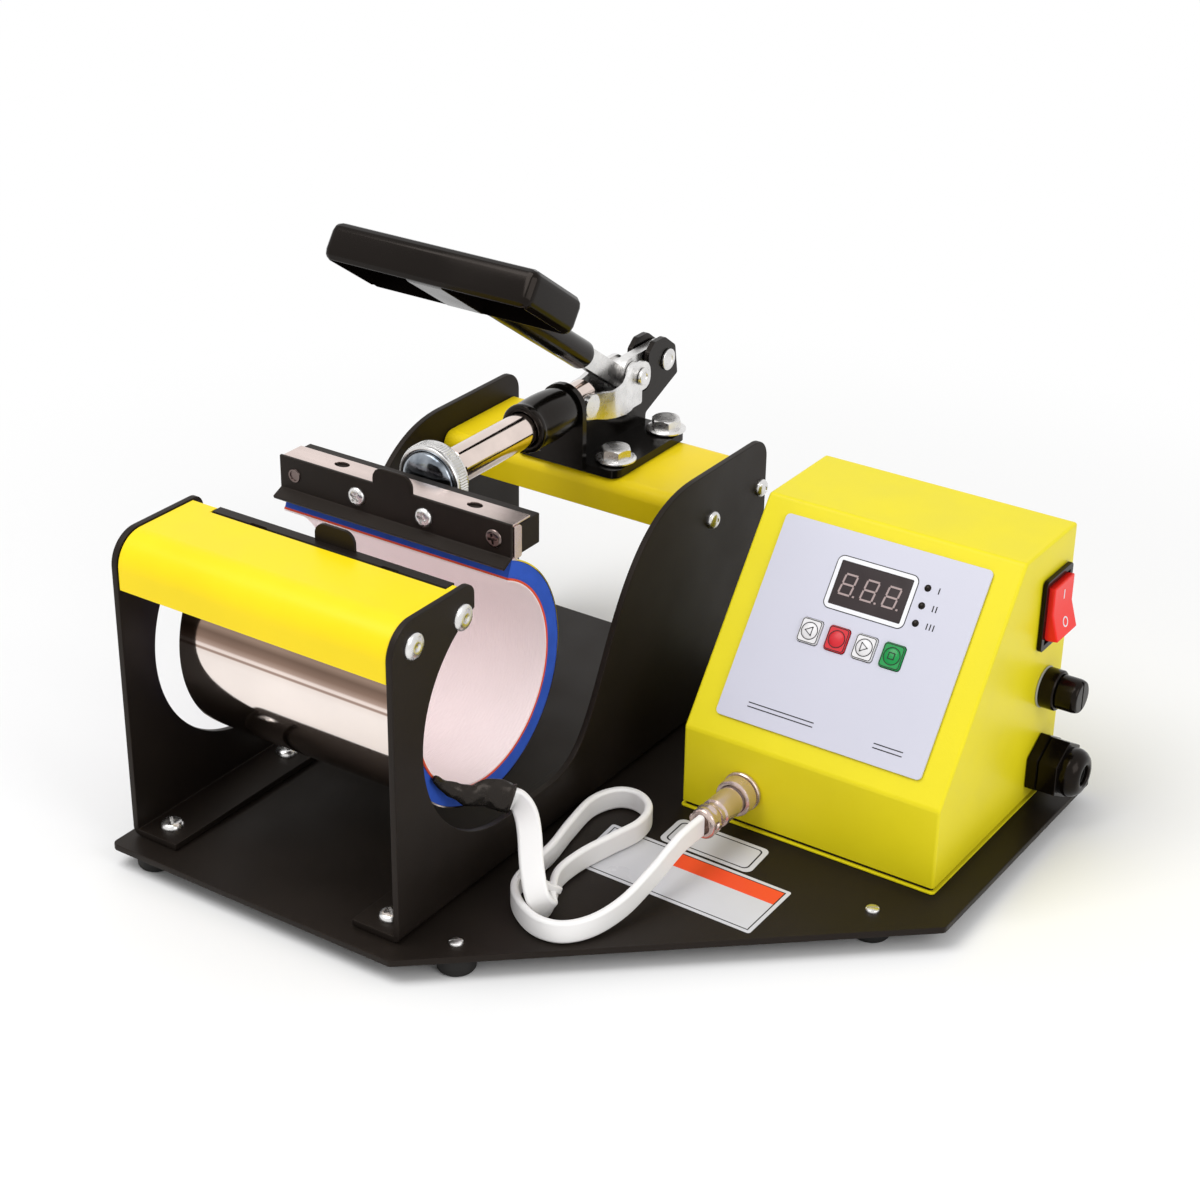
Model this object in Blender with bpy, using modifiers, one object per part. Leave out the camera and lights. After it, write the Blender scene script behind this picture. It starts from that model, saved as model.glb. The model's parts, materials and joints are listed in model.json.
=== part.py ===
"""Mug heat press: two side plates with an open U, a wrap-round heater pulled shut by a toggle clamp,
and a control box beside it on one base plate.

The bench frame used below has its origin on the base plate's top face at its front left corner, with
X to the right, Y to the back and Z up. The empty called bench carries everything, and stands the
press on its feet with the middle of its footprint at the world's origin."""

import math

import bmesh
import bpy
from mathutils import Matrix, Vector

NAME = "mug_heat_press"

# Clearances that several pieces share
GAP = 0.0003
CUT = 0.002

# Base plate and feet
BASE_W = 0.316
BASE_D = 0.288
BASE_T = 0.003
BASE_FRONT_W = 0.148
BASE_SLANT_D = 0.146
BASE_CORNER_R = 0.003
FOOT_R = 0.0085
FOOT_H = 0.008
FOOT_DOME = 0.003
FOOT_BORE_R = 0.0035
FOOT_BORE_D = 0.004
FOOT_INSET_X = 0.014
FOOT_INSET_Y = 0.012
FOOT_BEVEL_X = 0.014
FOOT_BEVEL_Y = 0.025
FOOT_SLANT_X = 0.030
FOOT_SLANT_Y = 0.006

# Side plates
PLATE_INSET = 0.003
PLATE_T = 0.003
PLATE_GAP = 0.136
PLATE_FRONT_Y = 0.0105
PLATE_REAR_Y = 0.286
PLATE_TOP = 0.1395
PLATE_REAR_TOP = 0.122
PLATE_FRONT_R = 0.014
PLATE_REAR_R = 0.010
TIP_BACK_Y = 0.0625
TIP_R = 0.005
U_Y = 0.0835
U_Z = 0.0774
U_R = 0.055
U_FLAT_Y = 0.112
U_BEND = 0.023
U_RISE_Y = 0.157
U_RISE_Z = 0.066
U_RISE_BACK = 0.016
U_RISE_UP = 0.033
U_END_Y = 0.225
U_END_BEND = 0.035
FLANGE_W = 0.024
FLANGE_STEP = 0.0004

# Front cover
COVER_T = 0.002
COVER_INSET = 0.0005
COVER_BOTTOM = 0.116
COVER_BACK_Y = 0.056
COVER_EAR_Y = 0.060
COVER_EAR_BOTTOM = 0.121

# Anchor strip behind the cover
ANCHOR_LEFT = 0.020
ANCHOR_RIGHT = 0.1390
ANCHOR_T = 0.0015
ANCHOR_BACK_Y = 0.0575
ANCHOR_DEPTH = 0.007
ANCHOR_TAB_W = 0.020
ANCHOR_TAB_X = 0.081
ANCHOR_TAB_H = 0.008
ANCHOR_TAB_R = 0.005
ANCHOR_SLOT_W = 0.009
ANCHOR_SLOT_D = 0.002
ANCHOR_SLOT_PITCH = 0.067
ANCHOR_SLOT_X = 0.078

# Rear crossbar
CROSS_FRONT_Y = 0.225
CROSS_REAR_Y = 0.285
CROSS_TOP = 0.110
CROSS_DROP = 0.016
CROSS_T = 0.002
CROSS_R = 0.006

# Heater: one loop round the mug, split into a fixed and a moving half
HEATER_W = 0.117
HEATER_Y = 0.085
HEATER_Z = 0.080
HEATER_R = 0.0524
BAND_T = 0.0006
FOAM_T = 0.0069
MAT_T = 0.0015
HEATER_FRONT_DEG = 155.0
HEATER_SPLIT_DEG = 295.0
HEATER_REAR_DEG = 428.0
HEATER_STRAIGHT = 0.030

# Toggle clamp: three pins on the plunger's axis when it is locked
AXIS_Z = 0.1395
PIN_P_Y = 0.2335
LINK_L = 0.043
ARM_L = 0.025
PIN_R = 0.003
CLAMP_W = 0.056
CLAMP_FRONT_Y = 0.226
CLAMP_REAR_Y = 0.286
CLAMP_T = 0.004
CLAMP_R = 0.005
WALL_HALF = 0.006
WALL_T = 0.0025
WALL_DROP = 0.0097
EAR_BACK = 0.0097
EAR_FRONT = 0.0157
EAR_RISE = 0.0117
EAR_R = 0.0025
EAR_ROOT_R = 0.002
EAR_SHOULDER_RISE = 0.0075
EAR_SHOULDER_IN = 0.005
EAR_CREST_Y = 0.002
EAR_CREST_R = 0.004
EAR_BACK_RISE = 0.005
EAR_HEEL_R = 0.001
EAR_FOOT_RISE = 0.004
EAR_FOOT_IN = 0.002
RING_W = 0.023
RING_T = 0.003
RING_Y = 0.2235
BOLT_PITCH_X = 0.040
BOLT_FRONT_Y = 0.238
BOLT_PITCH_Y = 0.042
BOLT_R = 0.003
BOLT_HEAD_R = 0.0061
BOLT_HEAD_H = 0.005
BOLT_DISH = 0.0008
DISH_SHARE = 0.55
WASHER_R = 0.008
WASHER_T = 0.0012
BOLT_TAIL = 0.006
BARREL_R = 0.01075
BARREL_FRONT_Y = 0.193
BARREL_LIP = 0.0015
BARREL_LIP_R = 0.0113
RUN_CLEAR = 0.00035

# Plunger and pressure knob
PLUNGER_R = 0.008
PLUNGER_TAIL = 0.0075
FLAT_HALF = 0.006
FLAT_FRONT_Y = 0.216
STUD_R = 0.0025
STUD_FRONT_Y = 0.1115
NECK_R = 0.0062
NECK_L = 0.0025
SHOULDER_R = 0.0095
SHOULDER_T = 0.0028
KNOB_R = 0.01735
KNOB_RIM_T = 0.0083
KNOB_DISC_R = 0.015
KNOB_DOME = 0.0038
KNOB_COLLAR_R = 0.011
KNOB_COLLAR_T = 0.0012
KNOB_CHAMFER = 0.0006

# Press bar
BAR_W = 0.120
BAR_Y = 0.1015
BAR_T = 0.0015
BAR_BOTTOM = 0.1305
BAR_TOP = 0.145
BAR_LIP_Y = 0.0055
BAR_LIP_Z = 0.0025
BAR_TAB_W = 0.0205
BAR_TAB_H = 0.0075
BAR_TAB_R = 0.005
BACKER_REAR_Y = 0.1215
BACKER_BOTTOM = 0.1298
BACKER_TOP = 0.1432
STRIP_T = 0.0009
STRIP_BOTTOM = 0.1292
STRIP_HOLE_R = 0.003
STRIP_HOLE_PITCH = 0.069
STRIP_HOLE_Y = 0.111

# Side links
LINK_INNER = 0.0064
LINK_T = 0.0022
LINK_BOW = 0.0031
LINK_NOSE = 0.0055
LINK_HUB = 0.007
LINK_DIP = 0.0132
LINK_HEAD_R = 0.0054
LINK_HEAD_H = 0.0018
LINK_HEEL = 0.0003
LINK_BEND_R = 0.0022
LINK_SADDLE = 0.001
LINK_SADDLE_R = 0.0215
LINK_HUB_RUN = 0.002
LINK_TAIL_L = 0.0107
LINK_TAIL_RISE = 0.0031
LINK_BOSS_R = 0.0059

# Lever, sleeve and paddle
LEVER_DEG = 34.5
LEVER_BACK = 0.0077
LEVER_T = 0.005
LEVER_BAR_T = 0.0046
LEVER_BAR_H = 0.0097
LEVER_HUB_R = 0.008
LEVER_TAIL = 0.005
PADDLE_W = 0.104
PADDLE_L = 0.041
PADDLE_T = 0.017
PADDLE_AT = 0.1298
PADDLE_DROP = 0.0015
PADDLE_R = 0.0045
PADDLE_WALL = 0.003
PADDLE_ROOF = 0.0035
PADDLE_WEB = 0.018
SLEEVE_R = 0.00675
SLEEVE_AT = 0.0362
LEVER_CLEAR = 0.0003
LEVER_IN = 0.034

# Control box
BOX_X = 0.1801
BOX_W = 0.1211
BOX_FRONT_Y = 0.1633
BOX_D = 0.1132
BOX_H = 0.1254
BOX_FRONT_H = 0.0397
BOX_SLOPE_D = 0.0638
BOX_T = 0.0015
TRAY_H = 0.0027

# Control panel, measured from the panel's lower left corner up its slope
PANEL_X = 0.012
PANEL_U = 0.0095
PANEL_W = 0.097
PANEL_L = 0.0907
PANEL_T = 0.001
PANEL_R = 0.004
WINDOW_X = 0.0438
WINDOW_U = 0.068
WINDOW_W = 0.0339
WINDOW_L = 0.0195
WINDOW_T = 0.004
BUTTON_FIRST_X = 0.0409
BUTTON_PITCH = 0.0129
BUTTON_U = 0.0544
BUTTON_W = 0.0095
BUTTON_L = 0.0105
BUTTON_R = 0.0015
BUTTON_PROUD = 0.0014
BUTTON_BODY = 0.0055
BUTTON_CLEAR = 0.0004
BUTTON_TRAVEL = 0.001
BUTTONS = ("button_left", "button_red", "button_right", "button_green")
BOARD_T = 0.0016
BOARD_MARGIN = 0.008
POST_R = 0.003
POST_INSET = 0.006

# Fittings on the box's right side and front
ROCKER_Y = 0.258
ROCKER_HEIGHT_SHARE = 0.7456
BEZEL_W = 0.026
BEZEL_H = 0.033
BEZEL_T = 0.002
BEZEL_WALL = 0.0028
BEZEL_DEPTH = 0.018
ROCKER_TILT = 8.0
ROCKER_T = 0.0055
ROCKER_CLEAR = 0.0005
ROCKER_CORNER = 0.0012
FUSE_Y = 0.2586
FUSE_HEIGHT_SHARE = 0.4362
FUSE_FLANGE_R = 0.009
FUSE_FLANGE_T = 0.0022
FUSE_BODY_R = 0.0062
FUSE_BODY_L = 0.026
FUSE_BORE_R = 0.0029
FUSE_BORE_L = 0.023
FUSE_CAP_R = 0.0072
FUSE_CAP_L = 0.0150
FUSE_TUBE_R = 0.0025
FUSE_TUBE_L = 0.020
FUSE_SLOT_W = 0.0012
FUSE_SLOT_D = 0.0012
GLAND_Y = 0.260
GLAND_Z = 0.017
GLAND_FLATS = 0.0125
GLAND_HEX_T = 0.005
GLAND_NECK_R = 0.008
GLAND_NECK_L = 0.004
GLAND_NUT_HEX = 0.009
GLAND_REACH = 0.0225
GLAND_DOME_R = 0.009
DOME_TIP_SHARE = 0.7
GLAND_BORE_R = 0.0042
GLAND_TAIL_R = 0.0095
GLAND_TAIL_L = 0.009
SOCKET_X = 0.2103
SOCKET_Z = 0.0183
SOCKET_R = 0.0085
SOCKET_T = 0.0022
SOCKET_NOSE_R = 0.0062
SOCKET_NOSE_L = 0.0075
SOCKET_TAIL_R = 0.0065
SOCKET_TAIL_L = 0.011
RING_NUT_R = 0.0083
RING_NUT_L = 0.0065
PLUG_R = 0.0064
PLUG_L = 0.0235
PLUG_CLAMP_R = 0.0072
PLUG_CLAMP_L = 0.008
PLUG_STEP = 0.0006

# Transformer on the tray
CORE_W = 0.046
CORE_D = 0.038
CORE_H = 0.040
COIL_W = 0.027
COIL_OUT = 0.008
COIL_H = 0.027
CORE_X = 0.030
CORE_Y = 0.060

# Heater cord: its route from the heater's end to the plug, chosen along the photographed loops
SLEEVE_CORD_R = 0.0062
CORD_R = 0.003
SLEEVE_ROUTE = (
    (0.1334, 0.0572, 0.0430),
    (0.1375, 0.0573, 0.0430),
    (0.1420, 0.0620, 0.0425),
    (0.1460, 0.0690, 0.0418),
    (0.1520, 0.0730, 0.0395),
)
CORD_ROUTE = (
    (0.1527, 0.0735, 0.0392),
    (0.1559, 0.0756, 0.0380),
    (0.1612, 0.0734, 0.0352),
    (0.1675, 0.0672, 0.0310),
    (0.1745, 0.0590, 0.0220),
    (0.1800, 0.0550, 0.0125),
    (0.1825, 0.0590, 0.0056),
    (0.1785, 0.0675, 0.0052),
    (0.1730, 0.0800, 0.0052),
    (0.1730, 0.0960, 0.0052),
    (0.1765, 0.1130, 0.0052),
    (0.1800, 0.1290, 0.0052),
    (0.1770, 0.1415, 0.0052),
    (0.1680, 0.1480, 0.0052),
    (0.1585, 0.1455, 0.0052),
    (0.1535, 0.1330, 0.0052),
    (0.1560, 0.1130, 0.0052),
    (0.1600, 0.0930, 0.0052),
    (0.1610, 0.0750, 0.0052),
    (0.1640, 0.0620, 0.0052),
    (0.1730, 0.0525, 0.0052),
    (0.1850, 0.0470, 0.0052),
    (0.1960, 0.0490, 0.0052),
    (0.2040, 0.0590, 0.0058),
    (0.2082, 0.0750, 0.0078),
    (0.2098, 0.0930, 0.0125),
    (0.2103, 0.1060, 0.0165),
    (0.2103, 0.1155, 0.0182),
    (0.2103, 0.1292, 0.0183),
)
CORD_STEP = 0.0065
SLEEVE_STEP = 0.0025

# How finely round shapes are made
ROUND = 4
ARC = 20
TURN = 24
WIDE_TURN = 40

# Places that follow from the sizes above
X_MID = PLATE_INSET + PLATE_T + PLATE_GAP / 2
PIN_J_Y = PIN_P_Y + LINK_L
PIN_E_Y = PIN_J_Y + ARM_L
SLOPE = math.atan2(BOX_H - BOX_FRONT_H, BOX_SLOPE_D)
BOX_RIGHT = BOX_X + BOX_W
ROCKER_Z = BOX_H * ROCKER_HEIGHT_SHARE
FUSE_Z = BOX_H * FUSE_HEIGHT_SHARE
CLAMP_TOP = CROSS_TOP + GAP + CLAMP_T
LEVER_Y = PIN_J_Y - LEVER_BACK
P_PIN = Vector((X_MID, PIN_P_Y, AXIS_Z))
J_PIN = Vector((X_MID, PIN_J_Y, AXIS_Z))
E_PIN = Vector((X_MID, PIN_E_Y, AXIS_Z))
KNOB_FRONT_Y = BACKER_REAR_Y + GAP
KNOB_RIM_Y = KNOB_FRONT_Y + KNOB_DOME
KNOB_BACK_Y = KNOB_RIM_Y + KNOB_RIM_T + KNOB_COLLAR_T
SHOULDER_Y = KNOB_BACK_Y + GAP
FOOTPRINT_X = (BOX_RIGHT + GLAND_REACH) / 2
FOOTPRINT_Y = (PIN_E_Y + EAR_BACK) / 2
GROUND = FOOT_H + GAP + BASE_T

for old in list(bpy.data.objects):
    bpy.data.objects.remove(old)

PARTS = bpy.data.collections.new(NAME)
CUTTERS = bpy.data.collections.new(NAME + "_cutters")
bpy.context.scene.collection.children.link(PARTS)
bpy.context.scene.collection.children.link(CUTTERS)


# Materials

def material(name, colour, roughness, metallic=0.0):
    made = bpy.data.materials.new(name)
    made.use_nodes = True
    shader = made.node_tree.nodes["Principled BSDF"]
    shader.inputs["Base Color"].default_value = (*colour, 1.0)
    shader.inputs["Roughness"].default_value = roughness
    shader.inputs["Metallic"].default_value = metallic
    return made


BLACK_PAINT = material("black_powder_coat", (0.022, 0.017, 0.015), 0.55)
YELLOW_PAINT = material("warm_yellow_paint", (0.93, 0.72, 0.02), 0.40)
BOX_PAINT = material("lemon_yellow_paint", (0.72, 0.64, 0.02), 0.35)
CHROME = material("chrome", (0.80, 0.76, 0.75), 0.12, 1.0)
STEEL = material("zinc_steel", (0.72, 0.70, 0.69), 0.32, 1.0)
BLUE_FOAM = material("blue_foam", (0.03, 0.10, 0.55), 0.75)
PALE_LINER = material("pale_liner", (0.80, 0.66, 0.67), 0.60)
BLACK_VINYL = material("black_vinyl", (0.018, 0.015, 0.014), 0.35)
BLACK_PLASTIC = material("black_plastic", (0.02, 0.02, 0.02), 0.45)
RUBBER = material("black_rubber", (0.015, 0.015, 0.015), 0.80)
WHITE_CORD = material("white_silicone", (0.86, 0.84, 0.83), 0.50)
PANEL_GREY = material("panel_grey", (0.62, 0.62, 0.72), 0.40)
DARK_WINDOW = material("dark_window", (0.03, 0.01, 0.02), 0.15)
WHITE_PLASTIC = material("white_plastic", (0.85, 0.85, 0.85), 0.45)
RED_PLASTIC = material("red_plastic", (0.80, 0.03, 0.03), 0.30)
GREEN_PLASTIC = material("green_plastic", (0.04, 0.45, 0.12), 0.40)
BOARD_GREEN = material("circuit_board_green", (0.02, 0.20, 0.08), 0.50)
GLASS = material("fuse_glass", (0.80, 0.85, 0.85), 0.10)
IRON = material("transformer_iron", (0.20, 0.20, 0.22), 0.45, 0.8)


# Outlines, as lists of (u, v) points

def arc(centre, radius, start, end, steps=ROUND):
    """Points from the angle start to the angle end, in degrees."""
    points = []
    for step in range(steps + 1):
        angle = math.radians(start + (end - start) * step / steps)
        points.append((centre[0] + radius * math.cos(angle), centre[1] + radius * math.sin(angle)))
    return points


def bezier(start, start_handle, end_handle, end, steps=8):
    """Points of a cubic curve, without its first one."""
    points = []
    for step in range(1, steps + 1):
        t = step / steps
        weights = ((1 - t) ** 3, 3 * t * (1 - t) ** 2, 3 * t * t * (1 - t), t ** 3)
        corners = (start, start_handle, end_handle, end)
        points.append(tuple(sum(w * c[k] for w, c in zip(weights, corners)) for k in (0, 1)))
    return points


def rounded(corners, steps=ROUND):
    """A closed outline from (u, v, radius) corners."""
    points = []
    for index, (u, v, radius) in enumerate(corners):
        here = Vector((u, v))
        to_last = (Vector(corners[index - 1][:2]) - here).normalized()
        to_next = (Vector(corners[(index + 1) % len(corners)][:2]) - here).normalized()
        if radius == 0:
            points.append((u, v))
            continue
        half = to_last.angle(to_next) / 2
        centre = here + (to_last + to_next).normalized() * (radius / math.sin(half))
        first = here + to_last * (radius / math.tan(half)) - centre
        last = here + to_next * (radius / math.tan(half)) - centre
        for step in range(steps + 1):
            swept = first.lerp(last, step / steps).normalized() * radius
            points.append(tuple(centre + swept))
    return points


def rectangle(u0, u1, v0, v1, radius=0):
    return rounded(((u0, v0, radius), (u1, v0, radius), (u1, v1, radius), (u0, v1, radius)))


# Solids; every one is an object at its own place in the frame that it is made in

TURNED_TO = {
    "X": Matrix(((0, 0, 1), (1, 0, 0), (0, 1, 0))),
    "Y": Matrix(((1, 0, 0), (0, 0, 1), (0, -1, 0))),
    "Z": Matrix.Identity(3),
}


def add(name, data, coating, where=(0, 0, 0), turn=None):
    piece = bpy.data.objects.new(name, data)
    PARTS.objects.link(piece)
    if coating:
        data.materials.append(coating)
    if turn:
        piece.rotation_euler = turn.to_euler()
    piece.location = where
    return piece


def from_bmesh(name, shape, coating, where, turn=None, smooth=False):
    mesh = bpy.data.meshes.new(name)
    shape.to_mesh(mesh)
    shape.free()
    if smooth:
        mesh.shade_smooth()
        mesh.set_sharp_from_angle(angle=math.radians(30))
    return add(name, mesh, coating, where, turn)


def block(name, coating, low, high):
    """A box between two corners."""
    shape = bmesh.new()
    bmesh.ops.create_cube(shape, size=1)
    size = Vector(high) - Vector(low)
    bmesh.ops.scale(shape, vec=size, verts=shape.verts)
    return from_bmesh(name, shape, coating, (Vector(low) + Vector(high)) / 2)


def rod(name, coating, axis, centre, radius, length, sides=TURN, top_radius=None):
    """A cylinder, or a cone where top_radius is given, centred on a point."""
    shape = bmesh.new()
    bmesh.ops.create_cone(
        shape,
        cap_ends=True,
        segments=sides,
        radius1=radius,
        radius2=radius if top_radius is None else top_radius,
        depth=length,
    )
    return from_bmesh(name, shape, coating, centre, TURNED_TO[axis], smooth=sides > 8)


def turned(name, coating, axis, centre, profile, steps=TURN):
    """A turned piece; profile is (radius, distance along the axis), down the outer side first."""
    mesh = bpy.data.meshes.new(name)
    closed = profile[0][0] > 0
    edges = [(k, k + 1) for k in range(len(profile) - 1)]
    if closed:
        edges.append((len(profile) - 1, 0))
    mesh.from_pydata([(r, 0, t) for r, t in profile], edges, [])
    piece = add(name, mesh, coating, centre, TURNED_TO[axis])
    screw = piece.modifiers.new("Turn", "SCREW")
    screw.axis = "Z"
    screw.steps = steps
    screw.render_steps = steps
    screw.use_merge_vertices = True
    screw.merge_threshold = 0.00001
    screw.use_smooth_shade = True
    return piece


def prism(name, coating, axis, outline, low, high):
    """A flat outline with a thickness along an axis, from low to high."""
    curve = bpy.data.curves.new(name, "CURVE")
    curve.dimensions = "2D"
    curve.fill_mode = "BOTH"
    curve.extrude = (high - low) / 2
    spline = curve.splines.new("POLY")
    spline.points.add(len(outline) - 1)
    for point, (u, v) in zip(spline.points, outline):
        point.co = (u, v, 0, 1)
    spline.use_cyclic_u = True
    middle = (low + high) / 2
    turns = {
        "X": (TURNED_TO["X"], (middle, 0, 0)),
        "Y": (Matrix(((1, 0, 0), (0, 0, -1), (0, 1, 0))), (0, middle, 0)),
        "Z": (TURNED_TO["Z"], (0, 0, middle)),
    }
    turn, where = turns[axis]
    return as_mesh(add(name, curve, coating, where, turn))


def as_mesh(curve_piece):
    """The curve's evaluated mesh, with its caps welded, in place of the curve."""
    bpy.context.view_layer.update()
    graph = bpy.context.evaluated_depsgraph_get()
    mesh = bpy.data.meshes.new_from_object(curve_piece.evaluated_get(graph))
    shape = bmesh.new()
    shape.from_mesh(mesh)
    bmesh.ops.remove_doubles(shape, verts=shape.verts, dist=0.000001)
    shape.to_mesh(mesh)
    shape.free()
    name = curve_piece.name
    place = curve_piece.matrix_world.copy()
    bpy.data.objects.remove(curve_piece)
    piece = bpy.data.objects.new(name, mesh)
    PARTS.objects.link(piece)
    piece.matrix_world = place
    return piece


def smooth_path(route, step):
    """Evenly spaced points on a smooth curve through the route's points."""
    fine = []
    ends = (route[0], *route, route[-1])
    for k in range(1, len(ends) - 2):
        a, b, c, d = (Vector(p) for p in ends[k - 1:k + 3])
        for part in range(12):
            t = part / 12
            fine.append(0.5 * (2 * b + (c - a) * t + (2 * a - 5 * b + 4 * c - d) * t * t
                               + (3 * b - a - 3 * c + d) * t ** 3))
    fine.append(Vector(route[-1]))
    lengths = [0.0]
    for p, q in zip(fine, fine[1:]):
        lengths.append(lengths[-1] + (q - p).length)
    count = round(lengths[-1] / step)
    points = []
    at = 0
    for k in range(count + 1):
        wanted = lengths[-1] * k / count
        while at < len(fine) - 2 and lengths[at + 1] < wanted:
            at += 1
        share = (wanted - lengths[at]) / (lengths[at + 1] - lengths[at])
        points.append(fine[at].lerp(fine[at + 1], min(max(share, 0.0), 1.0)))
    return points


def tube(name, coating, points, radius, resolution):
    curve = bpy.data.curves.new(name, "CURVE")
    curve.dimensions = "3D"
    curve.bevel_depth = radius
    curve.bevel_resolution = resolution
    curve.use_fill_caps = True
    spline = curve.splines.new("POLY")
    spline.points.add(len(points) - 1)
    for point, place in zip(spline.points, points):
        point.co = (*place, 1)
    return as_mesh(add(name, curve, coating))


def helper(piece):
    """Moves a cutter or a shape that is joined to another out of the parts."""
    PARTS.objects.unlink(piece)
    CUTTERS.objects.link(piece)
    piece.hide_render = True
    piece.display_type = "WIRE"
    return piece


def combine(piece, other, operation):
    step = piece.modifiers.new(other.name, "BOOLEAN")
    step.operation = operation
    step.solver = "EXACT"
    step.object = helper(other)
    return piece


def cut(piece, *others):
    for other in others:
        combine(piece, other, "DIFFERENCE")
    return piece


def join(piece, *others):
    for other in others:
        combine(piece, other, "UNION")
    return piece


def bevel(piece, width, segments=2, angle=40):
    step = piece.modifiers.new("Bevel", "BEVEL")
    step.width = width
    step.segments = segments
    step.limit_method = "ANGLE"
    step.angle_limit = math.radians(angle)
    return piece


def frame(name, where, parent=None, turn_x=0.0):
    """An empty on a joint's axis, or at the corner of a tilted face."""
    made = bpy.data.objects.new(name, None)
    PARTS.objects.link(made)
    made.location = where
    made.rotation_euler.x = turn_x
    made.parent = parent
    return made


def attach(piece, parent, pivot=(0, 0, 0)):
    """Hangs a piece and its cutters on a frame that lies at pivot in the piece's coordinates."""
    members = [piece] + [m.object for m in piece.modifiers if m.type == "BOOLEAN"]
    for member in members:
        if member.parent is None:
            member.parent = parent
            member.location = member.location - Vector(pivot)
            attach_cutters(member, parent, pivot)
    return piece


def attach_cutters(member, parent, pivot):
    for step in member.modifiers:
        if step.type == "BOOLEAN" and step.object.parent is None:
            attach(step.object, parent, pivot)


# Frames

BENCH = frame("bench", (-FOOTPRINT_X, -FOOTPRINT_Y, GROUND))
PLUNGER = frame("plunger_frame", P_PIN, BENCH)
HANDLE = frame("handle_frame", E_PIN, BENCH)
LINKS = frame("link_frame", J_PIN - E_PIN, HANDLE)
LEVER_AT = Vector((X_MID, LEVER_Y, AXIS_Z))
LEVER = frame("lever_frame", LEVER_AT - E_PIN, HANDLE, -math.radians(LEVER_DEG))
KNOB = frame("knob_frame", Vector((0, KNOB_RIM_Y - PIN_P_Y, 0)), PLUNGER)
PANEL = frame("panel_frame", (BOX_X, BOX_FRONT_Y, BOX_FRONT_H), BENCH, SLOPE)
ROCKER_AT = Vector((BOX_RIGHT, ROCKER_Y, ROCKER_Z))
ROCKER = frame("rocker_frame", ROCKER_AT, BENCH)


# Base plate and feet

def base_plate():
    outline = rounded((
        (0, 0, BASE_CORNER_R),
        (BASE_FRONT_W, 0, BASE_CORNER_R),
        (BASE_W, BASE_SLANT_D, BASE_CORNER_R),
        (BASE_W, BASE_D, BASE_CORNER_R),
        (0, BASE_D, BASE_CORNER_R),
    ))
    attach(prism("base_plate", BLACK_PAINT, "Z", outline, -BASE_T, 0), BENCH)


def feet():
    places = {
        "foot_front_left": (FOOT_INSET_X, FOOT_INSET_Y),
        "foot_front_middle": (BASE_FRONT_W + FOOT_BEVEL_X, FOOT_BEVEL_Y),
        "foot_front_right": (BASE_W - FOOT_SLANT_X, BASE_SLANT_D - FOOT_SLANT_Y),
        "foot_rear_left": (FOOT_INSET_X, BASE_D - FOOT_INSET_Y),
        "foot_rear_right": (BASE_W - FOOT_INSET_X, BASE_D - FOOT_INSET_Y),
    }
    shoulder = FOOT_R - FOOT_DOME
    profile = [(0, FOOT_H), (FOOT_R, FOOT_H)]
    profile += arc((shoulder, FOOT_DOME), FOOT_DOME, 0, -90, 3)
    profile += [(FOOT_BORE_R, 0), (FOOT_BORE_R, FOOT_BORE_D), (0, FOOT_BORE_D)]
    for name, (x, y) in places.items():
        attach(turned(name, RUBBER, "Z", (x, y, -GROUND), profile, TURN), BENCH)


# Side plates

def plate_outline():
    tip_angle = math.degrees(math.acos((TIP_BACK_Y - U_Y) / U_R))
    low = U_Z - U_R
    end = (U_END_Y, PLATE_REAR_TOP)
    rise = (U_RISE_Y, U_RISE_Z)
    bottom = GAP + PLATE_T / 2
    points = [(PLATE_FRONT_Y, bottom)]
    points += arc((PLATE_FRONT_Y + PLATE_FRONT_R, PLATE_TOP - PLATE_FRONT_R), PLATE_FRONT_R, 180, 90, 6)
    points += arc((TIP_BACK_Y - TIP_R, PLATE_TOP - TIP_R), TIP_R, 90, 0)
    points += arc((U_Y, U_Z), U_R, tip_angle, 270, ARC)
    points.append((U_FLAT_Y, low))
    bend = (U_FLAT_Y + U_BEND, low)
    points += bezier((U_FLAT_Y, low), bend, (U_RISE_Y - U_RISE_BACK, U_RISE_Z - U_RISE_UP), rise)
    after = (U_RISE_Y + U_RISE_BACK, U_RISE_Z + U_RISE_UP)
    points += bezier(rise, after, (U_END_Y - U_END_BEND, PLATE_REAR_TOP), end)
    points += arc((PLATE_REAR_Y - PLATE_REAR_R, PLATE_REAR_TOP - PLATE_REAR_R), PLATE_REAR_R, 90, 0)
    points.append((PLATE_REAR_Y, bottom))
    return points


def side_plate(name, side):
    """side is -1 for the left plate and 1 for the right one."""
    inner = X_MID + side * PLATE_GAP / 2
    outer = inner + side * PLATE_T
    edge = outer - side * FLANGE_W
    plate = prism(name, BLACK_PAINT, "X", plate_outline(), min(inner, outer), max(inner, outer))
    bend = outer - side * FLANGE_STEP
    low = (min(bend, edge), PLATE_FRONT_Y + FLANGE_STEP, GAP)
    high = (max(bend, edge), PLATE_REAR_Y - FLANGE_STEP, GAP + PLATE_T)
    join(plate, block(name + "_flange", None, low, high))
    attach(plate, BENCH)


# Front cover and anchor strip

def heater_line(along, out):
    """A point beside the heater's straight front end: along it, and out from its outer face."""
    angle = math.radians(HEATER_FRONT_DEG)
    y = HEATER_Y + (HEATER_R + out) * math.cos(angle) + along * math.sin(angle)
    z = HEATER_Z + (HEATER_R + out) * math.sin(angle) - along * math.cos(angle)
    return (y, z)


def heater_line_at(height, out):
    """The point on that line at a height."""
    start = heater_line(0, out)[1]
    return heater_line((height - start) / -math.cos(math.radians(HEATER_FRONT_DEG)), out)


COVER_TOP = PLATE_TOP - COVER_INSET
COVER_FRONT = PLATE_FRONT_Y + COVER_INSET


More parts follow.
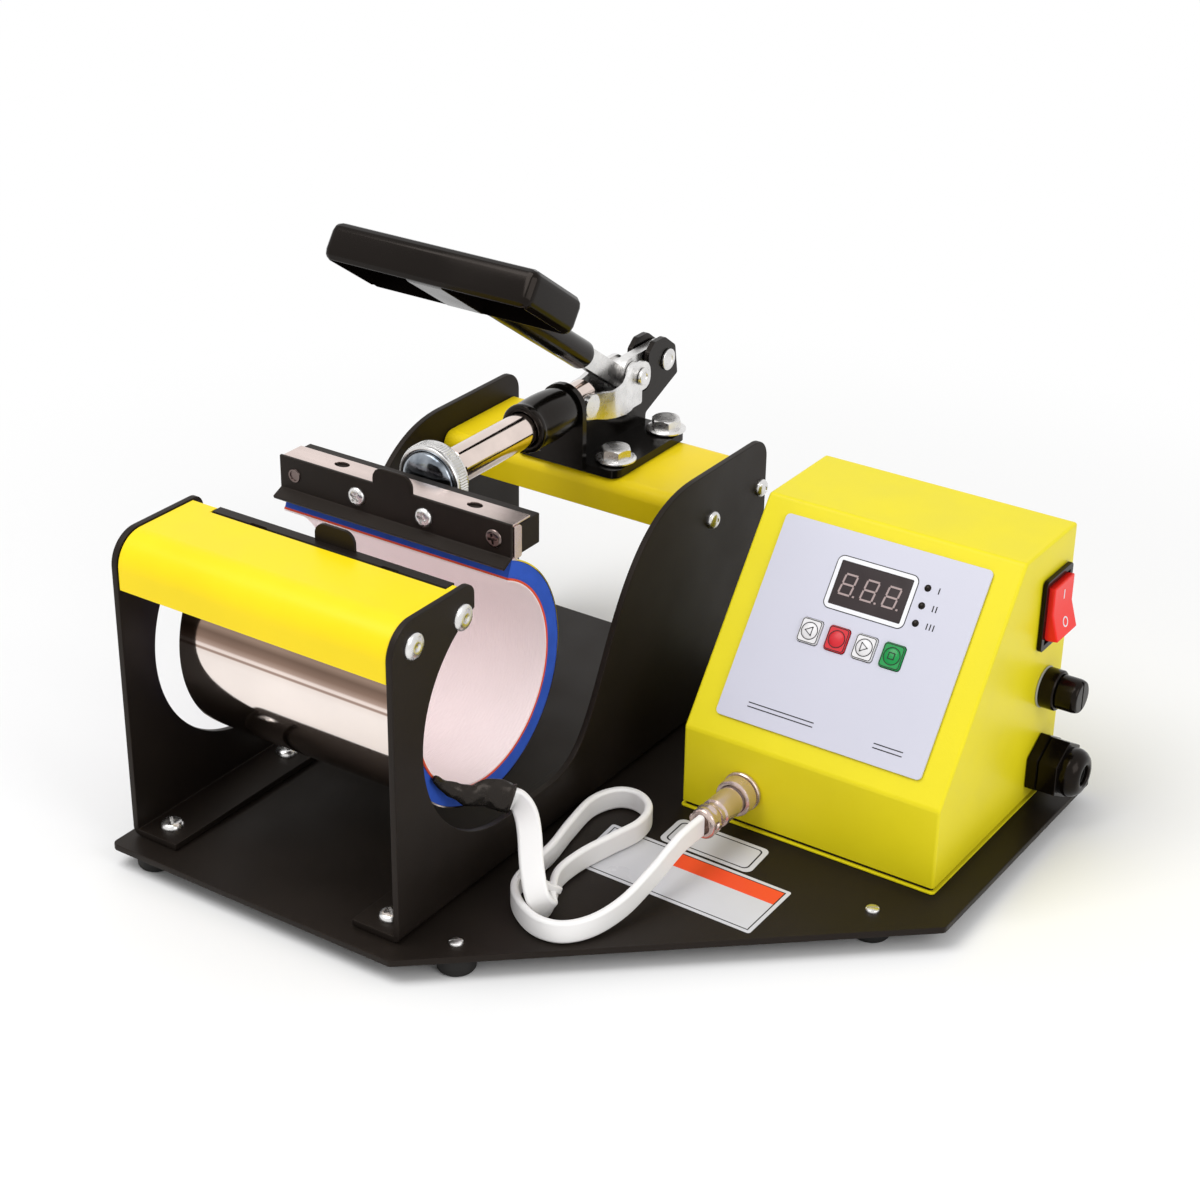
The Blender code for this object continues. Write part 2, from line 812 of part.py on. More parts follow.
def cover_bend(radius):
    centre = (COVER_FRONT + PLATE_FRONT_R, COVER_TOP - PLATE_FRONT_R)
    return arc(centre, radius, 180, 90, 6)


def front_cover():
    left = X_MID - PLATE_GAP / 2 + GAP
    right = X_MID + PLATE_GAP / 2 - GAP
    inner = PLATE_FRONT_R - COVER_T
    outline = [(COVER_FRONT, COVER_BOTTOM)] + cover_bend(PLATE_FRONT_R)
    outline += [(COVER_BACK_Y, COVER_TOP), (COVER_BACK_Y, COVER_TOP - COVER_T)]
    outline += cover_bend(inner)[::-1] + [(COVER_FRONT + COVER_T, COVER_BOTTOM)]
    cover = prism("front_cover", YELLOW_PAINT, "X", outline, left, right)
    ear = [(COVER_FRONT + COVER_T / 2, COVER_EAR_BOTTOM)] + cover_bend(PLATE_FRONT_R - COVER_T / 2)
    ear += [(COVER_BACK_Y - CUT, COVER_TOP - COVER_T / 2), (COVER_EAR_Y, COVER_TOP - ANCHOR_DEPTH)]
    ear += [(COVER_EAR_Y, COVER_EAR_BOTTOM)]
    join(
        cover,
        prism("cover_ear_left", None, "X", ear, left, left + COVER_T),
        prism("cover_ear_right", None, "X", ear, right - COVER_T, right),
    )
    notch_y = heater_line_at(COVER_TOP - COVER_T, GAP + ANCHOR_T)[0] - GAP
    low = (ANCHOR_LEFT - GAP, notch_y, COVER_TOP - COVER_T - CUT)
    high = (ANCHOR_RIGHT + GAP, COVER_BACK_Y + CUT, COVER_TOP + CUT)
    cut(cover, block("cover_notch", None, low, high))
    attach(cover, BENCH)


def heater_anchor():
    under = COVER_TOP - ANCHOR_T
    foot = heater_line(HEATER_STRAIGHT - ANCHOR_DEPTH, GAP)
    outline = [
        heater_line_at(under, GAP),
        (ANCHOR_BACK_Y, under),
        (ANCHOR_BACK_Y, COVER_TOP),
        heater_line_at(COVER_TOP, GAP + ANCHOR_T),
        heater_line(HEATER_STRAIGHT - ANCHOR_DEPTH, GAP + ANCHOR_T),
        foot,
    ]
    strip = prism("heater_anchor", BLACK_PAINT, "X", outline, ANCHOR_LEFT, ANCHOR_RIGHT)
    left = ANCHOR_TAB_X - ANCHOR_TAB_W / 2
    right = ANCHOR_TAB_X + ANCHOR_TAB_W / 2
    tab = rounded((
        (left, under, 0),
        (right, under, 0),
        (right, COVER_TOP + ANCHOR_TAB_H, ANCHOR_TAB_R),
        (left, COVER_TOP + ANCHOR_TAB_H, ANCHOR_TAB_R),
    ))
    join(strip, prism("anchor_tab", None, "Y", tab, ANCHOR_BACK_Y - ANCHOR_T, ANCHOR_BACK_Y))
    slot_y = heater_line_at(COVER_TOP, 0)[0] + ANCHOR_SLOT_D / 2
    for name, side in (("anchor_slot_left", -1), ("anchor_slot_right", 1)):
        x = ANCHOR_SLOT_X + side * ANCHOR_SLOT_PITCH / 2
        low = (x - ANCHOR_SLOT_W / 2, slot_y, under - CUT / 2)
        high = (x + ANCHOR_SLOT_W / 2, slot_y + ANCHOR_SLOT_D, COVER_TOP + CUT)
        cut(strip, block(name, None, low, high))
    attach(strip, BENCH)


# Rear crossbar

def rear_crossbar():
    left = X_MID - PLATE_GAP / 2 + GAP
    right = X_MID + PLATE_GAP / 2 - GAP
    bottom = CROSS_TOP - CROSS_DROP
    outline = rounded((
        (CROSS_FRONT_Y, bottom, 0),
        (CROSS_FRONT_Y, CROSS_TOP, CROSS_R),
        (CROSS_REAR_Y, CROSS_TOP, CROSS_R),
        (CROSS_REAR_Y, bottom, 0),
    ))
    bar = prism("rear_crossbar", YELLOW_PAINT, "X", outline, left, right)
    pocket = rounded((
        (CROSS_FRONT_Y + CROSS_T, bottom - CUT, 0),
        (CROSS_FRONT_Y + CROSS_T, CROSS_TOP - CROSS_T, CROSS_R - CROSS_T),
        (CROSS_REAR_Y - CROSS_T, CROSS_TOP - CROSS_T, CROSS_R - CROSS_T),
        (CROSS_REAR_Y - CROSS_T, bottom - CUT, 0),
    ))
    cut(bar, prism("crossbar_pocket", None, "X", pocket, left + CROSS_T, right - CROSS_T))
    for number, (x, y) in enumerate(bolt_places(), 1):
        hole = rod(f"crossbar_hole_{number}", None, "Z", (x, y, CROSS_TOP), BOLT_R + GAP, CROSS_DROP)
        cut(bar, hole)
    attach(bar, BENCH)


# Toggle clamp

def bolt_places():
    places = []
    for x in (X_MID - BOLT_PITCH_X / 2, X_MID + BOLT_PITCH_X / 2):
        for y in (BOLT_FRONT_Y, BOLT_FRONT_Y + BOLT_PITCH_Y):
            places.append((x, y))
    return places


def clamp_wall_outline():
    """The side view of a wall, which rises behind into the ear that holds the lever."""
    wall_top = AXIS_Z - WALL_DROP
    root = CLAMP_TOP - CLAMP_T / 2
    ear_top = AXIS_Z + EAR_RISE
    ear_front = PIN_E_Y - EAR_FRONT
    ear_back = PIN_E_Y + EAR_BACK
    return rounded((
        (RING_Y + RING_T / 2, root, 0),
        (RING_Y + RING_T / 2, wall_top, 0),
        (ear_front, wall_top, EAR_ROOT_R),
        (ear_front, AXIS_Z + EAR_SHOULDER_RISE, EAR_R),
        (ear_front + EAR_SHOULDER_IN, ear_top, EAR_R),
        (PIN_E_Y - EAR_CREST_Y, ear_top, EAR_CREST_R),
        (ear_back - EAR_R, AXIS_Z + EAR_BACK_RISE, EAR_R),
        (ear_back, AXIS_Z - EAR_BACK, EAR_HEEL_R),
        (CLAMP_REAR_Y - EAR_FOOT_IN, CLAMP_TOP + EAR_FOOT_RISE, EAR_ROOT_R),
        (CLAMP_REAR_Y - EAR_FOOT_IN, root, 0),
    ), 3)


def clamp_base():
    left = X_MID - CLAMP_W / 2
    outline = rectangle(left, left + CLAMP_W, CLAMP_FRONT_Y, CLAMP_REAR_Y, CLAMP_R)
    base = prism("clamp_base", BLACK_PAINT, "Z", outline, CROSS_TOP + GAP, CLAMP_TOP)
    walls = clamp_wall_outline()
    for name, low in (("clamp_wall_left", -WALL_HALF), ("clamp_wall_right", WALL_HALF - WALL_T)):
        join(base, prism(name, None, "X", walls, X_MID + low, X_MID + low + WALL_T))
    root = CLAMP_TOP - CLAMP_T / 2
    ring = [(X_MID + RING_W / 2, root)]
    ring += arc((X_MID, AXIS_Z), RING_W / 2, 0, 180, 12)
    ring += [(X_MID - RING_W / 2, root)]
    join(base, prism("clamp_ring", None, "Y", ring, RING_Y, RING_Y + RING_T))
    low = (X_MID - RING_W / 2, RING_Y + RING_T / 2, root - CLAMP_T / 4)
    high = (X_MID + RING_W / 2, CLAMP_FRONT_Y + CLAMP_R, root + CLAMP_T / 4)
    join(base, block("clamp_toe", None, low, high))
    cut(
        base,
        rod("ring_bore", None, "Y", P_PIN, PLUNGER_R + RUN_CLEAR, BARREL_R * 4),
        rod("ear_bore", None, "X", E_PIN, PIN_R + GAP, CLAMP_W),
    )
    for number, (x, y) in enumerate(bolt_places(), 1):
        cut(base, rod(f"clamp_hole_{number}", None, "Z", (x, y, CLAMP_TOP), BOLT_R + GAP, CROSS_DROP))
    attach(base, BENCH)


def guide_barrel():
    rear = RING_Y - GAP
    bore = PLUNGER_R + RUN_CLEAR
    profile = [
        (BARREL_R, rear),
        (BARREL_R, BARREL_FRONT_Y + BARREL_LIP * 2),
        (BARREL_LIP_R, BARREL_FRONT_Y + BARREL_LIP),
        (BARREL_LIP_R, BARREL_FRONT_Y),
        (bore, BARREL_FRONT_Y),
        (bore, rear),
    ]
    attach(turned("guide_barrel", BLACK_PAINT, "Y", (X_MID, 0, AXIS_Z), profile), BENCH)


def clamp_bolts():
    seat = CLAMP_TOP + GAP
    head = seat + WASHER_T + BOLT_HEAD_H
    for number, (x, y) in enumerate(bolt_places(), 1):
        middle = seat + WASHER_T + BOLT_HEAD_H / 2
        bolt = rod(f"clamp_bolt_{number}", STEEL, "Z", (x, y, middle), BOLT_HEAD_R, BOLT_HEAD_H, 6)
        washer = rod(f"washer_{number}", None, "Z", (x, y, seat + WASHER_T / 2 + GAP / 2),
                     WASHER_R, WASHER_T + GAP)
        tail = CROSS_TOP - CROSS_T - BOLT_TAIL
        shank = rod(f"shank_{number}", None, "Z", (x, y, (seat + CUT / 2 + tail) / 2), BOLT_R,
                    seat + CUT / 2 - tail, 16)
        dish = rod(f"dish_{number}", None, "Z", (x, y, head), BOLT_HEAD_R * DISH_SHARE, BOLT_DISH * 2)
        attach(cut(join(bolt, washer, shank), dish), BENCH)


def cross_pin(name, half, parent, pivot, centre, head_radius=0.0, head_height=0.0):
    """A pivot pin along X, with a flat head at each end where a head size is given."""
    if head_radius:
        end = half + head_height
        profile = [(0, end), (head_radius, end), (head_radius, half), (PIN_R, half)]
        profile += [(radius, -t) for radius, t in reversed(profile)]
    else:
        profile = [(0, half), (PIN_R, half), (PIN_R, -half), (0, -half)]
    attach(turned(name, STEEL, "X", centre, profile, 20), parent, pivot)


def pins():
    cross_pin("ear_pin", WALL_HALF + GAP, BENCH, (0, 0, 0), E_PIN, PIN_R + WALL_T, LINK_T / 2)
    cross_pin("plunger_pin", FLAT_HALF, PLUNGER, P_PIN, P_PIN)
    cross_pin("link_pin", LINK_INNER + LINK_T + GAP, HANDLE, E_PIN, J_PIN, PIN_R + CUT / 2, LINK_T / 2)


def plunger():
    tail = PIN_P_Y + PLUNGER_TAIL
    edge = KNOB_CHAMFER
    neck = SHOULDER_Y + SHOULDER_T + NECK_L
    profile = [
        (0, tail),
        (PLUNGER_R - edge, tail),
        (PLUNGER_R, tail - edge),
        (PLUNGER_R, neck + edge),
        (PLUNGER_R - edge, neck),
        (NECK_R, neck),
        (NECK_R, SHOULDER_Y + SHOULDER_T),
        (SHOULDER_R, SHOULDER_Y + SHOULDER_T),
        (SHOULDER_R, SHOULDER_Y),
        (STUD_R, SHOULDER_Y),
        (STUD_R, STUD_FRONT_Y),
        (0, STUD_FRONT_Y),
    ]
    piece = turned("plunger", CHROME, "Y", (X_MID, 0, AXIS_Z), profile, 32)
    for name, side in (("flat_left", -1), ("flat_right", 1)):
        near = X_MID + side * FLAT_HALF
        far = X_MID + side * (PLUNGER_R + CUT)
        low = (min(near, far), FLAT_FRONT_Y, AXIS_Z - PLUNGER_R - CUT)
        high = (max(near, far), tail + CUT, AXIS_Z + PLUNGER_R + CUT)
        cut(piece, block(name, None, low, high))
    cut(piece, rod("plunger_pin_bore", None, "X", P_PIN, PIN_R + GAP, CLAMP_W))
    attach(piece, PLUNGER, P_PIN)


def pressure_knob():
    bore = STUD_R + RUN_CLEAR
    rim_back = KNOB_RIM_Y + KNOB_RIM_T
    profile = [
        (bore, KNOB_BACK_Y),
        (KNOB_COLLAR_R, KNOB_BACK_Y),
        (KNOB_COLLAR_R, rim_back),
        (KNOB_R - KNOB_CHAMFER, rim_back),
        (KNOB_R, rim_back - KNOB_CHAMFER),
        (KNOB_R, KNOB_RIM_Y + KNOB_CHAMFER),
        (KNOB_R - KNOB_CHAMFER, KNOB_RIM_Y),
        (KNOB_DISC_R, KNOB_RIM_Y),
    ]
    for step in range(1, 5):
        angle = math.radians(90 * step / 5)
        profile.append((KNOB_DISC_R * math.cos(angle), KNOB_RIM_Y - KNOB_DOME * math.sin(angle)))
    profile.append((bore, KNOB_FRONT_Y))
    knob = turned("pressure_knob", STEEL, "Y", (X_MID, 0, AXIS_Z), profile, WIDE_TURN)
    attach(knob, KNOB, (X_MID, KNOB_RIM_Y, AXIS_Z))


# Press bar

STRIP_Y = BAR_Y + BAR_T + GAP
BACKER_Y = STRIP_Y + STRIP_T + GAP


def press_bar():
    left = X_MID - BAR_W / 2
    outline = [
        (BAR_Y, BAR_TOP),
        (BAR_Y, BAR_BOTTOM),
        (BAR_Y - BAR_LIP_Y, BAR_BOTTOM - BAR_LIP_Z),
        (BAR_Y - BAR_LIP_Y + BAR_T / 2, BAR_BOTTOM - BAR_LIP_Z - BAR_T),
        (BAR_Y + BAR_T, BAR_BOTTOM - BAR_T / 2),
        (BAR_Y + BAR_T, BAR_TOP),
    ]
    bar = prism("press_bar", BLACK_PAINT, "X", outline, left, left + BAR_W)
    tab = rounded((
        (X_MID - BAR_TAB_W / 2, BAR_TOP - BAR_TAB_H, 0),
        (X_MID + BAR_TAB_W / 2, BAR_TOP - BAR_TAB_H, 0),
        (X_MID + BAR_TAB_W / 2, BAR_TOP + BAR_TAB_H, BAR_TAB_R),
        (X_MID - BAR_TAB_W / 2, BAR_TOP + BAR_TAB_H, BAR_TAB_R),
    ))
    join(bar, prism("bar_tab", None, "Y", tab, BAR_Y, BAR_Y + BAR_T))
    attach(bar, PLUNGER, P_PIN)


def backing_bar():
    left = X_MID - BAR_W / 2
    low = (left, BACKER_Y, BACKER_BOTTOM)
    high = (left + BAR_W, BACKER_REAR_Y, BACKER_TOP)
    backer = bevel(block("backing_bar", BLACK_PAINT, low, high), KNOB_CHAMFER)
    depth = BACKER_REAR_Y - STUD_FRONT_Y + GAP
    bore = rod("stud_bore", None, "Y", (X_MID, BACKER_REAR_Y - (depth - CUT) / 2, AXIS_Z),
               STUD_R + RUN_CLEAR, depth + CUT)
    attach(cut(backer, bore), PLUNGER, P_PIN)


def end_strip():
    left = X_MID - BAR_W / 2
    top = BACKER_TOP + GAP
    outline = [
        (STRIP_Y, STRIP_BOTTOM),
        (STRIP_Y + STRIP_T, STRIP_BOTTOM),
        (STRIP_Y + STRIP_T, top),
        (BACKER_REAR_Y - CUT, top),
        (BACKER_REAR_Y - CUT, top + STRIP_T),
        (STRIP_Y, top + STRIP_T),
    ]
    strip = prism("end_strip", STEEL, "X", outline, left + GAP, left + BAR_W - GAP)
    for name, side in (("strip_hole_left", -1), ("strip_hole_right", 1)):
        x = X_MID + side * STRIP_HOLE_PITCH / 2
        cut(strip, rod(name, None, "Z", (x, STRIP_HOLE_Y, top + CUT / 2), STRIP_HOLE_R, CUT + STRIP_T))
    attach(strip, PLUNGER, P_PIN)


# Heater

def layer_outline(radius, thickness, start, end, straight, turned_by):
    """The section of one layer, from its straight front end round to its rear end."""
    outer = arc((HEATER_Y, HEATER_Z), radius, start, end, turned_by)
    inner = arc((HEATER_Y, HEATER_Z), radius - thickness, end, start, turned_by)
    if straight:
        out = radius - HEATER_R
        outer.insert(0, heater_line(straight, out))
        inner.append(heater_line(straight, out - thickness))
    return outer + inner


def heater():
    left = X_MID - HEATER_W / 2
    split = math.degrees(GAP / HEATER_R)
    foam_r = HEATER_R - BAND_T - GAP
    mat_r = foam_r - FOAM_T - GAP
    layers = (
        ("heater_band", CHROME, HEATER_R, BAND_T),
        ("heater_foam", BLUE_FOAM, foam_r, FOAM_T),
        ("heater_mat", PALE_LINER, mat_r, MAT_T),
    )
    for name, coating, radius, thickness in layers:
        front = layer_outline(radius, thickness, HEATER_FRONT_DEG, HEATER_SPLIT_DEG, HEATER_STRAIGHT, ARC)
        piece = prism(name + "_front", coating, "X", front, left, left + HEATER_W)
        attach(piece, BENCH)
        rear = layer_outline(radius, thickness, HEATER_SPLIT_DEG + split, HEATER_REAR_DEG, 0, ARC)
        piece = prism(name + "_rear", coating, "X", rear, left, left + HEATER_W)
        attach(piece, PLUNGER, P_PIN)


# Side links

def link_side_view():
    nose = PIN_P_Y - LINK_NOSE
    hub = PIN_J_Y + LINK_HUB
    dip = AXIS_Z - LINK_DIP
    return rounded((
        (nose, AXIS_Z + LINK_NOSE, LINK_NOSE - LINK_HEEL),
        (PIN_P_Y + LINK_L / 2, AXIS_Z + LINK_SADDLE, LINK_SADDLE_R),
        (PIN_J_Y - LINK_HUB - LINK_HUB_RUN, AXIS_Z + LINK_HUB, LINK_BEND_R),
        (hub, AXIS_Z + LINK_HUB, LINK_HUB - LINK_HEEL),
        (hub, AXIS_Z - LINK_HUB, LINK_HUB - LINK_BEND_R),
        (PIN_J_Y, AXIS_Z - LINK_HUB, LINK_HEEL),
        (PIN_J_Y, dip, LINK_BEND_R / 2),
        (PIN_J_Y - LINK_TAIL_L, dip, LINK_BEND_R),
        (PIN_P_Y + LINK_TAIL_L, dip + LINK_TAIL_RISE, LINK_BEND_R),
        (nose, AXIS_Z - LINK_NOSE, LINK_NOSE - LINK_HEEL),
    ))


def link_plan_view(side):
    near = LINK_INNER
    far = LINK_INNER + LINK_BOW
    quarter = LINK_L / 4
    front = PIN_P_Y - LINK_NOSE - CUT
    back = PIN_J_Y + LINK_HUB + CUT
    inner = (
        (near, front),
        (near, PIN_P_Y + LINK_NOSE),
        (far, PIN_P_Y + LINK_NOSE + quarter),
        (far, PIN_J_Y - LINK_HUB - quarter),
        (near, PIN_J_Y - LINK_HUB),
        (near, back),
    )
    corners = [(X_MID + side * x, y, 0) for x, y in inner]
    corners += [(X_MID + side * (x + LINK_T), y, 0) for x, y in reversed(inner)]
    return rounded(corners)


def toggle_link(name, side):
    high = AXIS_Z + LINK_HUB + CUT
    low = AXIS_Z - LINK_DIP - CUT
    link = prism(name, STEEL, "Z", link_plan_view(side), low, high)
    ends = sorted((side * (LINK_INNER - CUT), side * (LINK_INNER + LINK_BOW + LINK_T + CUT)))
    view = prism(name + "_side_view", None, "X", link_side_view(), X_MID + ends[0], X_MID + ends[1])
    combine(link, view, "INTERSECT")
    head_x = X_MID + side * (LINK_INNER + LINK_T + LINK_HEAD_H / 2 - GAP)
    head = rod(name + "_head", None, "X", (head_x, PIN_P_Y, AXIS_Z), LINK_HEAD_R,
               LINK_HEAD_H + GAP, 20)
    boss_x = X_MID + side * (LEVER_T / 2 + GAP + LINK_INNER + GAP) / 2
    boss = rod(name + "_boss", None, "X", (boss_x, PIN_J_Y, AXIS_Z), LINK_BOSS_R,
               LINK_INNER - LEVER_T / 2, 20)
    join(link, head, boss)
    cut(link, rod(name + "_bore", None, "X", J_PIN, PIN_R + GAP, CLAMP_W))
    attach(link, LINKS, J_PIN)


# Lever with its sleeve and paddle; these use the lever's own frame, with the lever running to -Y

def lever_arm():
    """The short arm between the ear pin and the link pin, in bench coordinates."""
    top = arc((PIN_E_Y, AXIS_Z), LEVER_HUB_R, -90, 90, 10)
    bottom = arc((PIN_J_Y, AXIS_Z), LEVER_HUB_R, 90, 270, 10)
    half = LEVER_T / 2
    arm = prism("handle_lever", STEEL, "X", top + bottom, X_MID - half, X_MID + half)
    cut(
        arm,
        rod("lever_ear_bore", None, "X", E_PIN, PIN_R + GAP, CLAMP_W),
        rod("lever_link_bore", None, "X", J_PIN, PIN_R + GAP, CLAMP_W),
    )
    return arm


def handle_lever():
    arm = attach(lever_arm(), HANDLE, E_PIN)
    half = LEVER_BAR_T / 2
    height = LEVER_BAR_H / 2
    end = PADDLE_AT + LEVER_IN
    bar = block("lever_bar", None, (-half, -end, -height), (half, LEVER_TAIL, height))
    bar.parent = LEVER
    first = arm.modifiers[:]
    join(arm, bar)
    arm.modifiers.move(len(first), 0)


def grip_sleeve():
    front = PADDLE_AT - GAP
    half = LEVER_BAR_T / 2 + LEVER_CLEAR
    height = LEVER_BAR_H / 2 + LEVER_CLEAR
    profile = [(0, -SLEEVE_AT), (SLEEVE_R, -SLEEVE_AT), (SLEEVE_R, -front), (0, -front)]
    sleeve = turned("grip_sleeve", BLACK_VINYL, "Y", (0, 0, 0), profile)
    low = (-half, -front - CUT, -height)
    high = (half, -SLEEVE_AT + CUT, height)
    attach(cut(sleeve, block("sleeve_bore", None, low, high)), LEVER)


def paddle_grip():
    half = PADDLE_W / 2
    near = -PADDLE_AT
    far = near - PADDLE_L
    top = PADDLE_T / 2 - PADDLE_DROP
    bottom = top - PADDLE_T
    paddle = block("paddle_grip", BLACK_PLASTIC, (-half, far, bottom), (half, near, top))
    bevel(paddle, PADDLE_R, 3)
    pocket_low = bottom - CUT
    pocket_high = top - PADDLE_ROOF
    for name, side in (("paddle_pocket_left", -1), ("paddle_pocket_right", 1)):
        inner = side * PADDLE_WEB / 2
        outer = side * (half - PADDLE_WALL)
        low = (min(inner, outer), far + PADDLE_WALL, pocket_low)
        high = (max(inner, outer), near - PADDLE_WALL, pocket_high)
        cut(paddle, block(name, None, low, high))
    slot = LEVER_BAR_T / 2 + LEVER_CLEAR
    height = LEVER_BAR_H / 2 + LEVER_CLEAR
    low = (-slot, -PADDLE_AT - LEVER_IN - LEVER_CLEAR, -height)
    cut(paddle, block("paddle_slot", None, low, (slot, near + CUT, height)))
    attach(paddle, LEVER)


# Control box; the panel's pieces use the panel frame, with Y up the slope and Z out of it

def box_outline(inset):
    """The side view of the box, drawn in by an inset."""
    back = BOX_FRONT_Y + BOX_D - inset
    bottom = -CUT if inset else TRAY_H + GAP
    return [
        (BOX_FRONT_Y + inset, bottom),
        (BOX_FRONT_Y + inset, BOX_FRONT_H - inset * math.tan((math.pi / 2 - SLOPE) / 2)),
        (BOX_FRONT_Y + BOX_SLOPE_D + inset * math.tan(SLOPE / 2), BOX_H - inset),
        (back, BOX_H - inset),
        (back, bottom),
    ]


def button_places():
    return [BUTTON_FIRST_X + BUTTON_PITCH * k for k in range(len(BUTTONS))]


def panel_holes(prefix, clearance):
    """Cutters through the panel for the window and the buttons."""
    depth = BOX_T + PANEL_T + CUT * 2
    places = {prefix + "_window": (WINDOW_X, WINDOW_U, WINDOW_W, WINDOW_L)}
    for button, x in zip(BUTTONS, button_places()):
        corner = (x - BUTTON_W / 2, BUTTON_U - BUTTON_L / 2)
        places[f"{prefix}_{button}"] = (*corner, BUTTON_W, BUTTON_L)
    holes = []
    for name, (x, u, width, length) in places.items():
        low = (x - clearance, u - clearance, -depth)
        high = (x + width + clearance, u + length + clearance, depth)
        holes.append(block(name, None, low, high))
    for hole in holes:
        hole.parent = PANEL
    return holes


def control_box():
    shell = prism("control_box", BOX_PAINT, "X", box_outline(0), BOX_X, BOX_RIGHT)
    cut(shell, prism("box_hollow", None, "X", box_outline(BOX_T), BOX_X + BOX_T, BOX_RIGHT - BOX_T))
    half_w = BEZEL_W / 2 - BEZEL_WALL / 2
    half_h = BEZEL_H / 2 - BEZEL_WALL / 2
    low = (BOX_RIGHT - BOX_T - CUT, ROCKER_Y - half_w, ROCKER_Z - half_h)
    high = (BOX_RIGHT + CUT, ROCKER_Y + half_w, ROCKER_Z + half_h)
    through = BOX_T * 4
    cut(
        shell,
        block("switch_hole", None, low, high),
        rod("fuse_hole", None, "X", (BOX_RIGHT, FUSE_Y, FUSE_Z), FUSE_BODY_R + GAP, through),
        rod("gland_hole", None, "X", (BOX_RIGHT, GLAND_Y, GLAND_Z), GLAND_TAIL_R + GAP, through),
        rod("socket_hole", None, "Y", (SOCKET_X, BOX_FRONT_Y, SOCKET_Z), SOCKET_TAIL_R + GAP, through),
    )
    cut(shell, *panel_holes("shell", BUTTON_CLEAR))
    attach(shell, BENCH)


def box_tray():
    outline = rectangle(BOX_X, BOX_RIGHT, BOX_FRONT_Y, BOX_FRONT_Y + BOX_D, BOX_T)
    attach(prism("box_tray", BLACK_PAINT, "Z", outline, GAP, TRAY_H), BENCH)


def panel_overlay():
    outline = rectangle(PANEL_X, PANEL_X + PANEL_W, PANEL_U, PANEL_U + PANEL_L, PANEL_R)
    overlay = prism("panel_overlay", PANEL_GREY, "Z", outline, GAP, GAP + PANEL_T)
    cut(overlay, *panel_holes("overlay", GAP))
    attach(overlay, PANEL)


def display_window():
    top = GAP + PANEL_T
    low = (WINDOW_X, WINDOW_U, top - WINDOW_T)
    high = (WINDOW_X + WINDOW_W, WINDOW_U + WINDOW_L, top)
    window = block("display_window", DARK_WINDOW, low, high)
    attach(window, PANEL)


def panel_buttons():
    top = GAP + PANEL_T + BUTTON_PROUD
    coats = (WHITE_PLASTIC, RED_PLASTIC, WHITE_PLASTIC, GREEN_PLASTIC)
    for name, x, coating in zip(BUTTONS, button_places(), coats):
        half_w = BUTTON_W / 2
        half_l = BUTTON_L / 2
        outline = rectangle(-half_w, half_w, -half_l, half_l, BUTTON_R)
        own = frame(name + "_frame", (x, BUTTON_U, 0), PANEL)
        attach(prism(name, coating, "Z", outline, top - BUTTON_BODY, top), own)


def circuit_board():
    """The board behind the panel, on four posts that reach the inside of the slope."""
    face = -BOX_T - GAP
    top = GAP + PANEL_T + BUTTON_PROUD - BUTTON_BODY - BUTTON_TRAVEL - GAP
    left = PANEL_X + BOARD_MARGIN
    right = PANEL_X + PANEL_W - BOARD_MARGIN
    low = PANEL_U + BOARD_MARGIN
    high = PANEL_U + PANEL_L - BOARD_MARGIN
    board = block("circuit_board", BOARD_GREEN, (left, low, top - BOARD_T), (right, high, top))
    for number, (x, u) in enumerate(((left, low), (right, low), (left, high), (right, high)), 1):
        x += POST_INSET if x == left else -POST_INSET
        u += POST_INSET if u == low else -POST_INSET
        bottom = top - BOARD_T / 2
        join(board, rod(f"board_post_{number}", None, "Z", (x, u, (bottom + face) / 2), POST_R,
                        face - bottom, 12))
    attach(board, PANEL)


def transformer():
    """An iron core round a coil, seated on the tray."""
    seat = TRAY_H + GAP
    x = BOX_X + CORE_X
    y = BOX_FRONT_Y + CORE_Y
    core = block("transformer", IRON, (x, y, seat), (x + CORE_W, y + CORE_D, seat + CORE_H))
    middle = (x + CORE_W / 2, y + CORE_D / 2, seat + CORE_H / 2)
    low = (middle[0] - COIL_W / 2, y - COIL_OUT, middle[2] - COIL_H / 2)
    high = (middle[0] + COIL_W / 2, y + CORE_D + COIL_OUT, middle[2] + COIL_H / 2)
    attach(join(core, block("coil", None, low, high)), BENCH)


# Fittings on the box

def switch_bezel():
    wall = BOX_RIGHT + GAP
    outline = rectangle(ROCKER_Y - BEZEL_W / 2, ROCKER_Y + BEZEL_W / 2,
                        ROCKER_Z - BEZEL_H / 2, ROCKER_Z + BEZEL_H / 2, BEZEL_T)
    bezel = prism("switch_bezel", BLACK_PLASTIC, "X", outline, wall, wall + BEZEL_T)
    half_w = BEZEL_W / 2 - BEZEL_WALL / 2 - GAP
    half_h = BEZEL_H / 2 - BEZEL_WALL / 2 - GAP
    low = (wall - BEZEL_DEPTH, ROCKER_Y - half_w, ROCKER_Z - half_h)
    high = (wall + BEZEL_T / 2, ROCKER_Y + half_w, ROCKER_Z + half_h)
    join(bezel, block("switch_case", None, low, high))
    half_w = BEZEL_W / 2 - BEZEL_WALL
    half_h = BEZEL_H / 2 - BEZEL_WALL
    low = (wall - BEZEL_DEPTH + BEZEL_WALL, ROCKER_Y - half_w, ROCKER_Z - half_h)
    high = (wall + BEZEL_T + CUT, ROCKER_Y + half_w, ROCKER_Z + half_h)
    attach(cut(bezel, block("switch_mouth", None, low, high)), BENCH)


